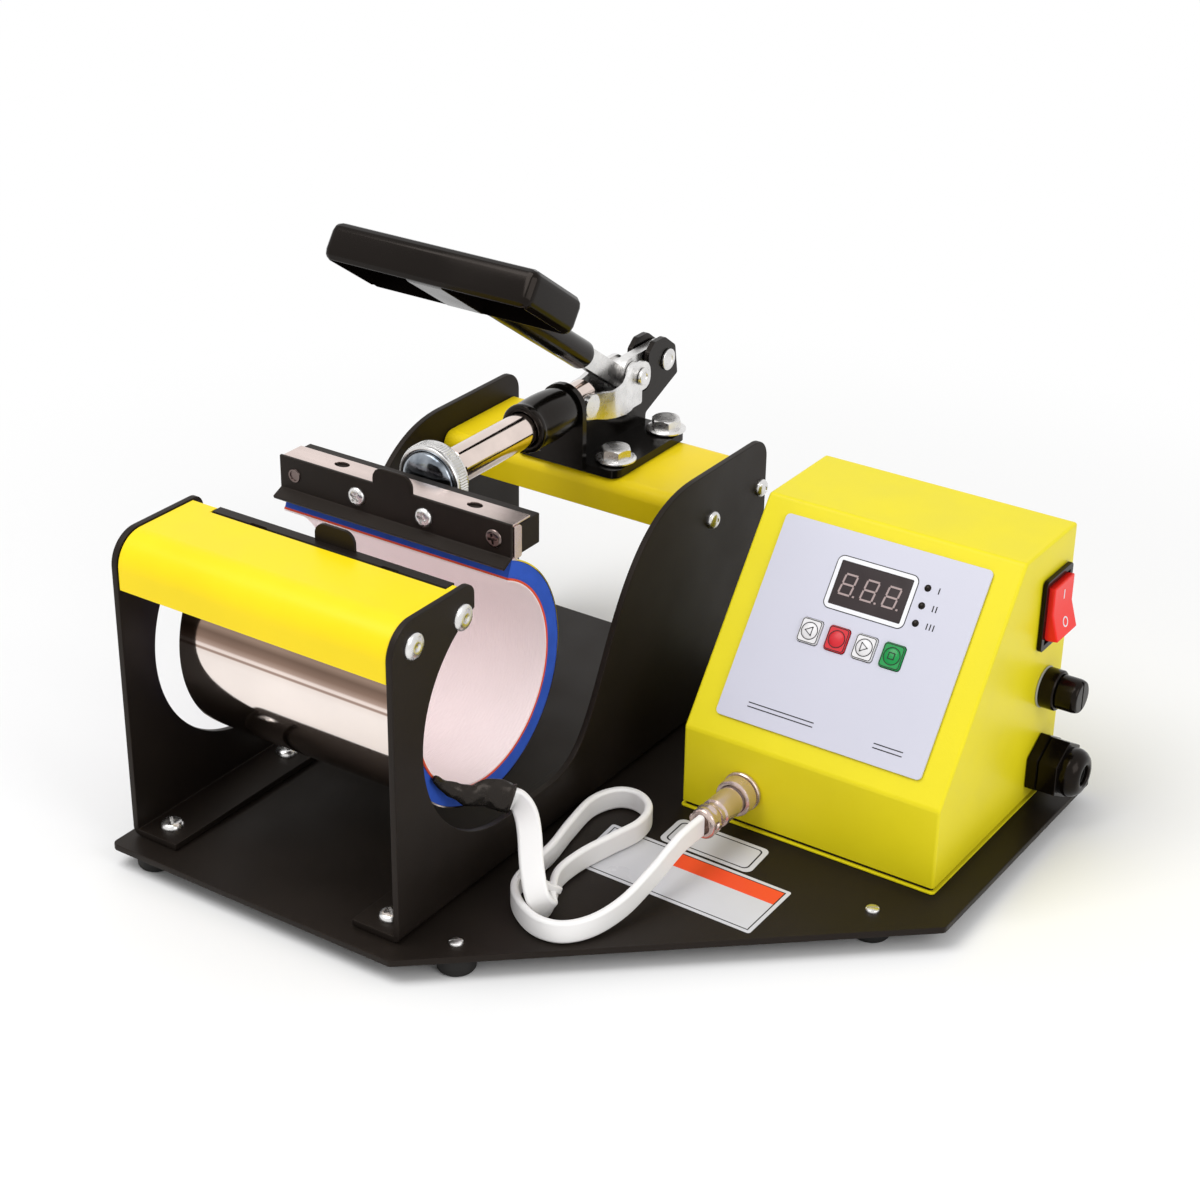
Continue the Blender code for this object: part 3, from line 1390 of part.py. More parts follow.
def rocker():
    """The red key with its lower end out; its section is two flats that meet over the axis."""
    half_w = BEZEL_W / 2 - BEZEL_WALL - ROCKER_CLEAR
    half_h = BEZEL_H / 2 - BEZEL_WALL - ROCKER_CLEAR * 3
    tilt = math.radians(ROCKER_TILT)
    rise = math.tan(tilt) * half_h
    face = BEZEL_T + ROCKER_T / 2
    outline = [
        (rise + face, -half_h),
        (face, 0),
        (rise + face, half_h),
        (rise + face - ROCKER_T, half_h),
        (face - ROCKER_T * 2, 0),
        (rise + face - ROCKER_T, -half_h),
    ]
    key = prism("rocker", RED_PLASTIC, "Y", outline, -half_w, half_w)
    bevel(key, ROCKER_CORNER / 2, 2)
    key.parent = ROCKER
    turn = Matrix.Rotation(-tilt, 4, "Y")
    key.matrix_basis = turn @ key.matrix_basis


def fuse_parts():
    wall = BOX_RIGHT + GAP
    mouth = wall + FUSE_FLANGE_T
    profile = [
        (0, mouth - FUSE_BORE_L),
        (FUSE_BORE_R, mouth - FUSE_BORE_L),
        (FUSE_BORE_R, mouth),
        (FUSE_FLANGE_R, mouth),
        (FUSE_FLANGE_R, wall),
        (FUSE_BODY_R, wall),
        (FUSE_BODY_R, wall - FUSE_BODY_L),
        (0, wall - FUSE_BODY_L),
    ]
    attach(turned("fuse_holder", BLACK_PLASTIC, "X", (0, FUSE_Y, FUSE_Z), profile), BENCH)
    fuse_end = mouth - FUSE_BORE_L + GAP
    middle = (fuse_end + FUSE_TUBE_L / 2, FUSE_Y, FUSE_Z)
    attach(rod("fuse", GLASS, "X", middle, FUSE_TUBE_R, FUSE_TUBE_L, 16), BENCH)
    cap_low = mouth + GAP
    cap_high = cap_low + FUSE_CAP_L
    edge = KNOB_CHAMFER
    profile = [
        (0, cap_high),
        (FUSE_CAP_R - edge, cap_high),
        (FUSE_CAP_R, cap_high - edge),
        (FUSE_CAP_R, cap_low),
        (0, cap_low),
    ]
    own = frame("fuse_cap_frame", (cap_low, FUSE_Y, FUSE_Z), BENCH)
    cap = turned("fuse_cap", BLACK_PLASTIC, "X", (0, FUSE_Y, FUSE_Z), profile)
    low = (cap_high - FUSE_SLOT_D, FUSE_Y - FUSE_SLOT_W / 2, FUSE_Z - FUSE_CAP_R - CUT)
    high = (cap_high + CUT, FUSE_Y + FUSE_SLOT_W / 2, FUSE_Z + FUSE_CAP_R + CUT)
    attach(cut(cap, block("cap_slot", None, low, high)), own, (cap_low, FUSE_Y, FUSE_Z))


def cable_gland():
    wall = BOX_RIGHT + GAP
    neck = wall + GLAND_HEX_T + GLAND_NECK_L
    corner = GLAND_FLATS / math.cos(math.pi / 6)
    centre = (wall + GLAND_HEX_T / 2, GLAND_Y, GLAND_Z)
    body = rod("gland_body", BLACK_PLASTIC, "X", centre, corner, GLAND_HEX_T, 6)
    tail = wall - GLAND_TAIL_L
    tail_rod = rod("gland_tail", None, "X", ((tail + wall + GAP) / 2, GLAND_Y, GLAND_Z), GLAND_TAIL_R,
                   wall + GAP - tail)
    inner = neck - wall - GLAND_HEX_T / 2
    neck_rod = rod("gland_neck", None, "X", (neck - inner / 2, GLAND_Y, GLAND_Z), GLAND_NECK_R, inner)
    join(body, tail_rod, neck_rod)
    bore = rod("gland_bore", None, "X", (wall, GLAND_Y, GLAND_Z), GLAND_BORE_R, GLAND_REACH * 3)
    attach(cut(body, bore), BENCH)
    start = neck + GAP
    nut_end = BOX_RIGHT + GLAND_REACH
    hex_end = start - GLAND_NECK_L + GLAND_NUT_HEX
    back = wall + GLAND_HEX_T + GAP
    nut = rod("gland_nut", BLACK_PLASTIC, "X", ((back + hex_end) / 2, GLAND_Y, GLAND_Z),
              corner, hex_end - back, 6)
    dome = turned("gland_dome", None, "X", (0, GLAND_Y, GLAND_Z), [
        (0, nut_end),
        (GLAND_DOME_R * DOME_TIP_SHARE, nut_end),
        (GLAND_DOME_R, (nut_end + hex_end) / 2),
        (GLAND_NECK_R + GLAND_HEX_T / 2, hex_end - GAP),
        (0, hex_end - GAP),
    ])
    join(nut, dome)
    inside = rod("nut_inside", None, "X", ((start + back) / 2 - CUT / 2, GLAND_Y, GLAND_Z),
                 GLAND_NECK_R + GAP, start - back + CUT)
    mouth = rod("nut_mouth", None, "X", (nut_end, GLAND_Y, GLAND_Z), GLAND_BORE_R, GLAND_REACH * 2)
    attach(cut(nut, inside, mouth), BENCH)


def socket_and_plug():
    face = BOX_FRONT_Y - GAP
    centre = (SOCKET_X, 0, SOCKET_Z)
    nose = face - SOCKET_T - SOCKET_NOSE_L
    tail = face + SOCKET_TAIL_L
    socket = turned("socket", CHROME, "Y", centre, [
        (0, tail),
        (SOCKET_TAIL_R, tail),
        (SOCKET_TAIL_R, face),
        (SOCKET_R, face),
        (SOCKET_R, face - SOCKET_T),
        (SOCKET_NOSE_R, face - SOCKET_T),
        (SOCKET_NOSE_R, nose),
        (0, nose),
    ])
    attach(socket, BENCH)
    ring_back = face - SOCKET_T - GAP
    ring_front = ring_back - RING_NUT_L
    inside = SOCKET_NOSE_R + RUN_CLEAR
    own = frame("plug_ring_frame", (SOCKET_X, ring_front, SOCKET_Z), BENCH)
    ring = turned("plug_ring", CHROME, "Y", centre, [
        (inside, ring_back),
        (RING_NUT_R, ring_back),
        (RING_NUT_R, ring_front + PLUG_STEP),
        (RING_NUT_R - PLUG_STEP, ring_front),
        (inside, ring_front),
    ])
    attach(ring, own, (SOCKET_X, ring_front, SOCKET_Z))
    back = nose - GAP
    clamp_back = back - PLUG_L + PLUG_CLAMP_L
    front = back - PLUG_L
    plug = turned("plug_body", CHROME, "Y", centre, [
        (0, back),
        (PLUG_R - PLUG_STEP, back),
        (PLUG_R, back - PLUG_STEP),
        (PLUG_R, clamp_back + PLUG_STEP * 3),
        (PLUG_R - PLUG_STEP * 2, clamp_back + PLUG_STEP * 2),
        (PLUG_R - PLUG_STEP * 2, clamp_back),
        (PLUG_CLAMP_R, clamp_back - PLUG_STEP),
        (PLUG_CLAMP_R, front + PLUG_STEP),
        (PLUG_CLAMP_R - PLUG_STEP, front),
        (0, front),
    ])
    attach(plug, BENCH)


# Heater cord

def heater_cord():
    sleeve = tube("cord_sleeve", BLACK_VINYL, smooth_path(SLEEVE_ROUTE, SLEEVE_STEP), SLEEVE_CORD_R, 3)
    attach(sleeve, BENCH)
    cord = tube("heater_cord", WHITE_CORD, smooth_path(CORD_ROUTE, CORD_STEP), CORD_R, 2)
    attach(cord, BENCH)


base_plate()
feet()
side_plate("left_side_plate", -1)
side_plate("right_side_plate", 1)
front_cover()
heater_anchor()
rear_crossbar()
clamp_base()
guide_barrel()
clamp_bolts()
pins()
plunger()
pressure_knob()
press_bar()
backing_bar()
end_strip()
heater()
toggle_link("toggle_link_left", -1)
toggle_link("toggle_link_right", 1)
handle_lever()
grip_sleeve()
paddle_grip()
control_box()
box_tray()
panel_overlay()
display_window()
panel_buttons()
circuit_board()
transformer()
switch_bezel()
rocker()
fuse_parts()
cable_gland()
socket_and_plug()
heater_cord()
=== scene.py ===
import json
from math import acos, atan2, cos, degrees, pi, radians, sin, tan

import bmesh
import bpy
from mathutils import Matrix, Vector, noise


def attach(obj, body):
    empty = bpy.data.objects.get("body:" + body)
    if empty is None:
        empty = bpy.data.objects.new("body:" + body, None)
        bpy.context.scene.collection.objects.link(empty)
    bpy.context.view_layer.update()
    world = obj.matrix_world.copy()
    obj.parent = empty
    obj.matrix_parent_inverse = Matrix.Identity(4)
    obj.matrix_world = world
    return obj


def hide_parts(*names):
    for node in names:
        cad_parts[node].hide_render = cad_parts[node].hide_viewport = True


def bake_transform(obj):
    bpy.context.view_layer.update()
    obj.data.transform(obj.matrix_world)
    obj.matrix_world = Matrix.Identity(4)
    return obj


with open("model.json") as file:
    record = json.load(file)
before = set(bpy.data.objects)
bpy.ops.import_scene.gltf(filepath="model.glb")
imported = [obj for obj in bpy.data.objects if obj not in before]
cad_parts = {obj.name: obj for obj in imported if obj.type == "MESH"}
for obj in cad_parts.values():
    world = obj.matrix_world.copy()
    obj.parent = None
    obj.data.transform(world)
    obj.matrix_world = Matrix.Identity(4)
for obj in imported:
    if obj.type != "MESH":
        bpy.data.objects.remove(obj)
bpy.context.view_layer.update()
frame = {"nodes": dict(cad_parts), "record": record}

SCENE = bpy.context.scene

# Shapes are in bench millimetres: x to the right, y to the back and z up, from the base plate's top
# at its front left corner.
MM = 0.001
shift = Matrix.Translation


def turned(angle, axis):
    return Matrix.Rotation(angle, 4, axis)


BENCH = shift((-0.16185, -0.1556, 0.0113)) @ Matrix.Scale(MM, 4)
METRES = Matrix.Identity(4)
X_MID = 74.0                # middle of the press
AXIS_Z = 139.5              # the clamp's plunger

# Control box: its faces, and the sloping face's lower and upper edges
BOX_LEFT, BOX_RIGHT, BOX_FRONT, BOX_BACK, BOX_TOP = 180.1, 301.2, 163.3, 276.5, 125.4
SLOPE_Z, SLOPE_Y = 39.7, 227.1
SLOPE = atan2(BOX_TOP - SLOPE_Z, SLOPE_Y - BOX_FRONT)

# Places with their own axes: the box's sloping face, and the lever in its rest position
PANEL = BENCH @ shift((BOX_LEFT, BOX_FRONT, SLOPE_Z)) @ turned(SLOPE, "X")
LEVER = BENCH @ shift((X_MID, 268.8, AXIS_Z)) @ turned(radians(-34.5), "X")


# Camera, at the photograph's viewing angle

camera = bpy.data.objects.new("camera", bpy.data.cameras.new("camera"))
SCENE.collection.objects.link(camera)
camera.data.sensor_width = 36
camera.data.lens = 73.506
camera.data.clip_start = 0.05
camera.data.clip_end = 20
axes = Matrix((
    (0.82979235, 0.55790045, 0.01384722),
    (-0.26437770, 0.37112800, 0.89015079),
    (0.49147644, -0.74230122, 0.45545562),
)).transposed()
camera.matrix_world = shift((0.48687, -0.76668, 0.57313)) @ axes.to_4x4()
SCENE.camera = camera
SCENE.view_settings.view_transform = "Standard"


# Materials

def feed(made, **inputs):
    """Gives a node's inputs values or links from other nodes' outputs; _ stands for a space."""
    for name, value in inputs.items():
        socket = made.inputs[name.replace("_", " ")]
        if isinstance(value, bpy.types.NodeSocket):
            made.id_data.links.new(value, socket)
        else:
            socket.default_value = value
    return made


def add_node(tree, kind, **inputs):
    return feed(tree.nodes.new("ShaderNode" + kind), **inputs)


def spread(tree, value, low, high, to_low=0.0, to_high=1.0):
    """A socket's value, spread from one range over another."""
    return add_node(tree, "MapRange", Value=value, From_Min=low, From_Max=high, To_Min=to_low,
        To_Max=to_high).outputs["Result"]


def scaled(colour, factor):
    return tuple(min(1.0, c * factor) for c in colour) + (1.0,)


CLOUD_LOW, CLOUD_HIGH = 0.3, 0.7        # what most of a noise's values lie between


def material(name, colour, roughness, metallic=0.0, vary=0.06, cloud=30, grain=900, bump=0.05,
        depth=0.0001, stretch=(1, 1, 1), rough_vary=0.06, other=None, specular=0.5,
        tint=(1, 1, 1, 1), clear=0.0):
    """A Principled material; soft clouds vary its colour and gloss, and a fine grain its surface.

    The colour varies by the share vary, or towards other. cloud and grain are the scales of the
    noise, and depth is the grain's depth in metres.
    """
    made = bpy.data.materials.new(name)
    made.use_nodes = True
    tree = made.node_tree
    place = add_node(tree, "TexCoord").outputs["Object"]
    stretched = add_node(tree, "Mapping", Vector=place, Scale=stretch).outputs["Vector"]
    clouds = add_node(tree, "TexNoise", Vector=stretched, Scale=cloud, Detail=5).outputs["Fac"]
    ramp = add_node(tree, "ValToRGB", Fac=clouds)
    first, last = ramp.color_ramp.elements
    first.position, last.position = CLOUD_LOW, CLOUD_HIGH
    first.color = (*other, 1.0) if other else scaled(colour, 1 - vary)
    last.color = scaled(colour, 1 if other else 1 + vary)
    gloss = spread(tree, clouds, CLOUD_LOW, CLOUD_HIGH, max(0.02, roughness - rough_vary),
        roughness + rough_vary)
    fine = add_node(tree, "TexNoise", Vector=stretched, Scale=grain, Detail=3).outputs["Fac"]
    relief = add_node(tree, "Bump", Height=fine, Strength=bump, Distance=depth)
    feed(tree.nodes["Principled BSDF"], Base_Color=ramp.outputs["Color"], Metallic=metallic,
        Roughness=gloss, Normal=relief.outputs["Normal"], Specular_IOR_Level=specular,
        Specular_Tint=tint, Transmission_Weight=clear)
    return made


def ribbed(made, pitch, axis, strength, depth):
    """Adds fine parallel ribs to a material's surface; pitch and depth are in millimetres."""
    tree = made.node_tree
    # The texture's waves are 2 pi / (20 * scale) long.
    waves = add_node(tree, "TexWave", Vector=tree.nodes["Texture Coordinate"].outputs["Object"],
        Scale=2 * pi / (20 * pitch * MM), Distortion=0.4)
    waves.bands_direction = axis
    ribs = add_node(tree, "Bump", Strength=strength, Distance=depth * MM,
        Height=waves.outputs["Color"], Normal=tree.nodes["Bump"].outputs["Normal"])
    feed(tree.nodes["Principled BSDF"], Normal=ribs.outputs["Normal"])
    return made


def painted_reflection_streaks(made, stops, front, fade):
    """Gives a material level streaks of painted reflection: dark and light bands by height that
    stand in for what the steel mirrors.

    stops are heights in metres with the colours there, and the streaks fade in over a distance
    behind the y front.
    """
    tree = made.node_tree
    shader = tree.nodes["Principled BSDF"]
    clouds = shader.inputs["Base Color"].links[0].from_socket
    place = tree.nodes["Texture Coordinate"].outputs["Object"]
    parts = add_node(tree, "SeparateXYZ", Vector=place).outputs
    low, high = stops[0][0], stops[-1][0]
    ramp = add_node(tree, "ValToRGB", Fac=spread(tree, parts["Z"], low, high))
    colours = ramp.color_ramp.elements
    colours.remove(colours[-1])
    for index, (z, colour) in enumerate(stops):
        stop = colours.new((z - low) / (high - low)) if index else colours[0]
        stop.color = (*colour, 1.0)
    mix = add_node(tree, "Mix")
    mix.data_type = "RGBA"
    mix.blend_type = "MULTIPLY"
    feed(mix, Factor=spread(tree, parts["Y"], front + fade, front), A=clouds,
        B=ramp.outputs["Color"])
    feed(shader, Base_Color=mix.outputs["Result"])
    return made


TINT = (1.0, 0.86, 0.77, 1.0)           # the photograph's black parts mirror a little brown
BLACK = material("black_powder_coat", (0.0095, 0.007, 0.0055), 0.46, vary=0.16, grain=1500,
    bump=0.22, depth=0.0002, specular=0.19, tint=TINT)
GLOSS_BLACK = material("black_enamel", (0.004, 0.0035, 0.003), 0.2, grain=260, depth=0.0003,
    specular=0.2, tint=TINT)
YELLOW = material("warm_yellow_paint", (0.92, 0.69, 0.006), 0.36, vary=0.03, grain=1300, bump=0.1,
    specular=0.22)
LEMON = material("lemon_yellow_paint", (0.79, 0.675, 0.01), 0.38, vary=0.03, grain=1500, bump=0.28,
    depth=0.00016, specular=0.25)
CHROME = material("chrome", (0.76, 0.645, 0.59), 0.1, 1, vary=0.1, cloud=55, grain=300, bump=0.02,
    rough_vary=0.05)
NICKEL = material("plug_nickel", (0.62, 0.5, 0.45), 0.24, 0.75, vary=0.1, cloud=90, bump=0.1)
# Painted reflection on the heater band: level dark and light streaks by height stand in for the
# cover and dark parts that the band mirrors, and fade out behind its front.
PAINTED_REFLECTION_STOPS = (
    (0.0950, (1.00, 1.00, 1.00)), (0.0976, (0.95, 0.93, 0.92)), (0.0981, (0.42, 0.33, 0.29)),
    (0.0987, (0.42, 0.33, 0.29)), (0.0993, (0.98, 0.93, 0.91)), (0.1001, (0.96, 0.90, 0.88)),
    (0.1009, (0.52, 0.42, 0.37)), (0.1032, (0.30, 0.22, 0.18)), (0.1062, (0.20, 0.145, 0.115)),
    (0.1085, (0.36, 0.28, 0.23)), (0.1160, (0.22, 0.16, 0.13)),
)
BAND = painted_reflection_streaks(material("heater_steel", (0.86, 0.77, 0.72), 0.07, 1, cloud=26, grain=60, bump=0.02,
    depth=0.0003, rough_vary=0.03), PAINTED_REFLECTION_STOPS, -0.1, 0.01)
STEEL = material("zinc_steel", (0.74, 0.73, 0.72), 0.27, 1, vary=0.12, cloud=180, grain=1200,
    bump=0.1)
# Dark steel for the bar's end screw; on the bar's thread hole the same dark colour is painted
# shade.
DARK_STEEL_AND_HOLE_SHADE = material("dark_screw_and_hole_shade", (0.17, 0.13, 0.12), 0.22, 1, vary=0.15, cloud=180, grain=1200,
    bump=0.1)
SATIN = material("polished_strip", (0.72, 0.6, 0.56), 0.24, 1, vary=0.14, cloud=60,
    stretch=(0.25, 1, 1), bump=0.12)
FOAM = material("blue_foam", (0.03, 0.095, 0.5), 0.8, vary=0.1, cloud=120, grain=1900, bump=0.45,
    depth=0.0003, specular=0.2)
ORANGE = material("orange_mat", (0.74, 0.085, 0.03), 0.55, vary=0.1, grain=1200, bump=0.2,
    specular=0.2)
LINER = ribbed(material("pale_liner", (0.94, 0.82, 0.825), 0.55, vary=0.03, grain=1500, bump=0.15),
    1.25, "X", 0.55, 0.22)
VINYL = material("black_vinyl", (0.0035, 0.003, 0.0025), 0.18, vary=0.2, grain=420, bump=0.08,
    depth=0.0003, specular=0.22, tint=TINT)
SHRINK = material("shrink_sleeve", (0.009, 0.008, 0.007), 0.28, vary=0.2, cloud=140, grain=260,
    bump=0.35, depth=0.0009, specular=0.3, tint=TINT)
PLASTIC = material("black_plastic", (0.0035, 0.0025, 0.002), 0.17, vary=0.12, grain=700, bump=0.06,
    specular=0.16, tint=TINT)
RUBBER = material("black_rubber", (0.012, 0.011, 0.01), 0.65, vary=0.15, grain=1100, bump=0.3,
    specular=0.25)
GASKET = material("grey_gasket", (0.34, 0.35, 0.33), 0.5, grain=1100, bump=0.1)
WHITE = material("white_silicone", (0.9, 0.885, 0.875), 0.42, vary=0.02, grain=500, bump=0.1)
PALE = material("tie_nylon", (0.84, 0.82, 0.8), 0.35, vary=0.03, grain=500, bump=0.08)
OVERLAY = material("panel_grey", (0.575, 0.575, 0.665), 0.36, vary=0.015, cloud=12, grain=2200,
    bump=0.12, depth=0.00008, rough_vary=0.01)
FRAME_WHITE = material("panel_white", (0.8, 0.8, 0.83), 0.35, vary=0.02, grain=1500)
INK = material("print_black", (0.012, 0.011, 0.013), 0.4, vary=0.1, grain=1500, specular=0.2)
GLASS = material("dark_window", (0.03, 0.02, 0.021), 0.14, vary=0.12, grain=400, bump=0.01,
    specular=0.3)
DIGIT = material("pale_digit", (0.4, 0.31, 0.3), 0.35, specular=0.2)
BUTTON_WHITE = material("button_white", (0.74, 0.73, 0.74), 0.32, vary=0.02, grain=1200)
BUTTON_RED = material("button_red", (0.6, 0.02, 0.03), 0.3, vary=0.05, grain=1200, specular=0.3)
BUTTON_GREEN = material("button_green", (0.006, 0.28, 0.06), 0.3, grain=1200, specular=0.3)
RED = material("red_plastic", (0.9, 0.022, 0.014), 0.22, vary=0.05, grain=500, bump=0.03,
    specular=0.22)
DISC = material("knob_disc", (0.46, 0.5, 0.55), 0.2, 1, cloud=95, grain=160, bump=0.35,
    depth=0.0009, rough_vary=0.12, other=(0.055, 0.07, 0.09))
LABEL = material("label_grey", (0.6, 0.6, 0.63), 0.28, vary=0.03, specular=0.3)
LABEL_RED = material("label_orange", (0.8, 0.075, 0.022), 0.34, vary=0.04, specular=0.3)
BOARD = material("circuit_board_green", (0.02, 0.2, 0.08), 0.45, vary=0.2, cloud=160, grain=800,
    bump=0.2)
TUBE = material("fuse_glass", (0.8, 0.85, 0.85), 0.1, vary=0.03, grain=500, bump=0.02, clear=0.8)
IRON = material("transformer_iron", (0.2, 0.2, 0.22), 0.45, 0.8, vary=0.15, bump=0.3)

BY_SLOT = dict(
    black_powder_coat=BLACK, warm_yellow_paint=YELLOW, lemon_yellow_paint=LEMON, chrome=CHROME,
    zinc_steel=STEEL, blue_foam=FOAM, pale_liner=LINER, black_vinyl=VINYL, black_plastic=PLASTIC,
    black_rubber=RUBBER, white_silicone=WHITE, panel_grey=OVERLAY, dark_window=GLASS,
    white_plastic=BUTTON_WHITE, red_plastic=BUTTON_RED, green_plastic=BUTTON_GREEN,
    board_green=BOARD, fuse_glass=TUBE, transformer_iron=IRON,
)
SLOT_OF = {row["node"]: row["material_slot"] for row in frame["record"]["subparts"]}
BODY_OF = {name: body for body, names in frame["record"]["behaviour"]["bodies"].items()
    for name in names}
for name, cad in frame["nodes"].items():
    for slot in cad.material_slots:
        slot.material = BY_SLOT[SLOT_OF[name]]


# Outlines, as lists of (u, v) points

def arc(centre, radius, start, end, steps=12):
    points = []
    for step in range(steps + 1):
        angle = radians(start + (end - start) * step / steps)
        points.append((centre[0] + radius * cos(angle), centre[1] + radius * sin(angle)))
    return points


def circle(centre, radius, steps=40, start=0):
    return arc(centre, radius, start, start + 360, steps)[:-1]


def bezier(start, start_handle, end_handle, end, steps=24):
    """Points on a curve, without its start."""
    corners = (start, start_handle, end_handle, end)
    points = []
    for step in range(1, steps + 1):
        t = step / steps
        weights = ((1 - t) ** 3, 3 * t * (1 - t) ** 2, 3 * t * t * (1 - t), t ** 3)
        points.append(tuple(sum(w * c[k] for w, c in zip(weights, corners)) for k in (0, 1)))
    return points


def rounded(corners, steps=8):
    """A closed outline from (u, v, radius) corners."""
    points = []
    for index, (u, v, radius) in enumerate(corners):
        if radius == 0:
            points.append((u, v))
            continue
        here = Vector((u, v))
        to_last = (Vector(corners[index - 1][:2]) - here).normalized()
        to_next = (Vector(corners[(index + 1) % len(corners)][:2]) - here).normalized()
        half = to_last.angle(to_next) / 2
        centre = here + (to_last + to_next).normalized() * (radius / sin(half))
        first = here + to_last * (radius / tan(half)) - centre
        last = here + to_next * (radius / tan(half)) - centre
        for step in range(steps + 1):
            points.append(tuple(centre + first.lerp(last, step / steps).normalized() * radius))
    return points


def rectangle(u0, u1, v0, v1, radius=0, steps=8):
    return rounded(((u0, v0, radius), (u1, v0, radius), (u1, v1, radius), (u0, v1, radius)), steps)


def knurled(centre, radius, depth, count):
    """A toothed outline; each tooth takes four points, two of them at its foot."""
    points = []
    for k in range(count * 4):
        angle = 2 * pi * k / (count * 4)
        r = radius - (depth if k % 4 in (0, 1) else 0)
        points.append((centre[0] + r * cos(angle), centre[1] + r * sin(angle)))
    return points


# Shapes, as bmeshes

def closed(shape):
    bmesh.ops.recalc_face_normals(shape, faces=shape.faces)
    return shape


def banded(shape, rows):
    """Adds the faces between each two rows of vertices, which are closed loops."""
    for first, second in rows:
        for k in range(len(first)):
            n = (k + 1) % len(first)
            shape.faces.new((first[k], first[n], second[n], second[k]))


def prism(outline, low, high, axis="Z"):
    """An outline given a thickness along an axis."""
    spot = {
        "X": lambda u, v, t: (t, u, v),
        "Y": lambda u, v, t: (u, t, v),
        "Z": lambda u, v, t: (u, v, t),
    }[axis]
    shape = bmesh.new()
    lower = [shape.verts.new(spot(u, v, low)) for u, v in outline]
    upper = [shape.verts.new(spot(u, v, high)) for u, v in outline]
    shape.faces.new(lower)
    shape.faces.new(upper)
    banded(shape, [(lower, upper)])
    return closed(shape)


def slab(u0, u1, v0, v1, low, high, radius=0):
    return prism(rectangle(u0, u1, v0, v1, radius), low, high)


def block(low, high):
    return prism([(low[0], low[1]), (high[0], low[1]), (high[0], high[1]), (low[0], high[1])],
        low[2], high[2])


def hoop(outer, inner, low, high):
    """A flat closed band between two outlines with the same number of points."""
    shape = bmesh.new()
    rows = [[shape.verts.new((u, v, z)) for u, v in line]
        for line, z in ((outer, low), (outer, high), (inner, high), (inner, low))]
    banded(shape, zip(rows, rows[1:] + rows[:1]))
    return closed(shape)


def lathe(profile, axis="Z", centre=(0, 0, 0), steps=48, ripple=None):
    """A turned shape from (radius, distance along the axis) points.

    ripple gives what is added to the radius at an angle and a point's number.
    """
    shape = bmesh.new()
    rows = []
    for index, (radius, t) in enumerate(profile):
        row = []
        for k in range(1 if radius == 0 else steps):
            angle = 2 * pi * k / steps
            r = radius + (ripple(angle, index) if ripple and radius else 0)
            a, b = r * cos(angle), r * sin(angle)
            spot = {"X": (t, a, b), "Y": (b, t, a), "Z": (a, b, t)}[axis]
            row.append(shape.verts.new(Vector(centre) + Vector(spot)))
        rows.append(row)
    pairs = list(zip(rows, rows[1:]))
    if profile[0][0] > 0 and profile[-1][0] > 0:
        pairs.append((rows[-1], rows[0]))
    for first, second in pairs:
        for k in range(steps):
            corners = [first[k % len(first)], first[(k + 1) % len(first)],
                second[(k + 1) % len(second)], second[k % len(second)]]
            corners = list(dict.fromkeys(corners))
            if len(corners) > 2:
                shape.faces.new(corners)
    return closed(shape)


def moved(shape, matrix):
    bmesh.ops.transform(shape, matrix=matrix, verts=shape.verts)
    return shape


def together(*shapes):
    """Several shapes as one bmesh."""
    whole = bmesh.new()
    for shape in shapes:
        mesh = bpy.data.meshes.new("part")
        shape.to_mesh(mesh)
        shape.free()
        whole.from_mesh(mesh)
        bpy.data.meshes.remove(mesh)
    return whole


def as_object(shape, name="part"):
    mesh = bpy.data.meshes.new(name)
    shape.to_mesh(mesh)
    shape.free()
    made = bpy.data.objects.new(name, mesh)
    SCENE.collection.objects.link(made)
    return made


def merged(shape, distance):
    """The shape with points that near each other joined, and its flat faces made whole."""
    bmesh.ops.remove_doubles(shape, verts=shape.verts, dist=distance)
    bmesh.ops.dissolve_limit(shape, angle_limit=radians(0.5), verts=shape.verts, edges=shape.edges)
    return shape


def carved(shape, *cutters, operation="DIFFERENCE"):
    """A shape less its cutters, or with INTERSECT the part of it that is inside them."""
    whole = as_object(shape)
    tools = [as_object(cutter) for cutter in cutters]
    for tool in tools:
        step = whole.modifiers.new("cut", "BOOLEAN")
        step.operation = operation
        step.solver = "EXACT"
        step.object = tool
    bpy.context.view_layer.update()
    result = bmesh.new()
    result.from_mesh(whole.evaluated_get(bpy.context.evaluated_depsgraph_get()).data)
    for used in [whole, *tools]:
        bpy.data.objects.remove(used)
    return merged(result, 0.0005)


def show(name, shape, finish, *nodes, body="frame", where=BENCH, edge=0.0, segments=2, sharp=35,
        only=None):
    """Makes a visible piece, which rides on a body and stands for the CAD nodes that are named.

    edge is the width of its eased edges in millimetres, sharp is the angle in degrees from which
    an edge is eased, and only picks among those.
    """
    moved(shape, where)
    if edge:
        picked = [e for e in shape.edges if len(e.link_faces) == 2
            and e.calc_face_angle(0) > radians(sharp) and (only is None or only(e))]
        bmesh.ops.bevel(shape, geom=picked, offset=edge * MM, segments=segments, profile=0.5,
            affect="EDGES", clamp_overlap=True)
    piece = as_object(shape, name)
    piece.data.materials.append(finish)
    piece.data.shade_smooth()
    piece.data.set_sharp_from_angle(angle=radians(sharp + 5))
    piece.modifiers.new("Normals", "WEIGHTED_NORMAL").keep_sharp = True
    if body:
        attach(piece, body)
    if nodes:
        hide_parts(*nodes)
    return piece


def dressed(name, finish, edge, segments=2, sharp=35):
    """A CAD node's shape again, with eased edges, in its place."""
    shape = bmesh.new()
    shape.from_mesh(frame["nodes"][name].data)
    show(name + "_eased", closed(merged(shape, 1e-6)), finish, name, body=BODY_OF[name],
        where=METRES, edge=edge, segments=segments, sharp=sharp)


# Heater cord, its sleeve and its tie; their points are in metres from the bench's origin

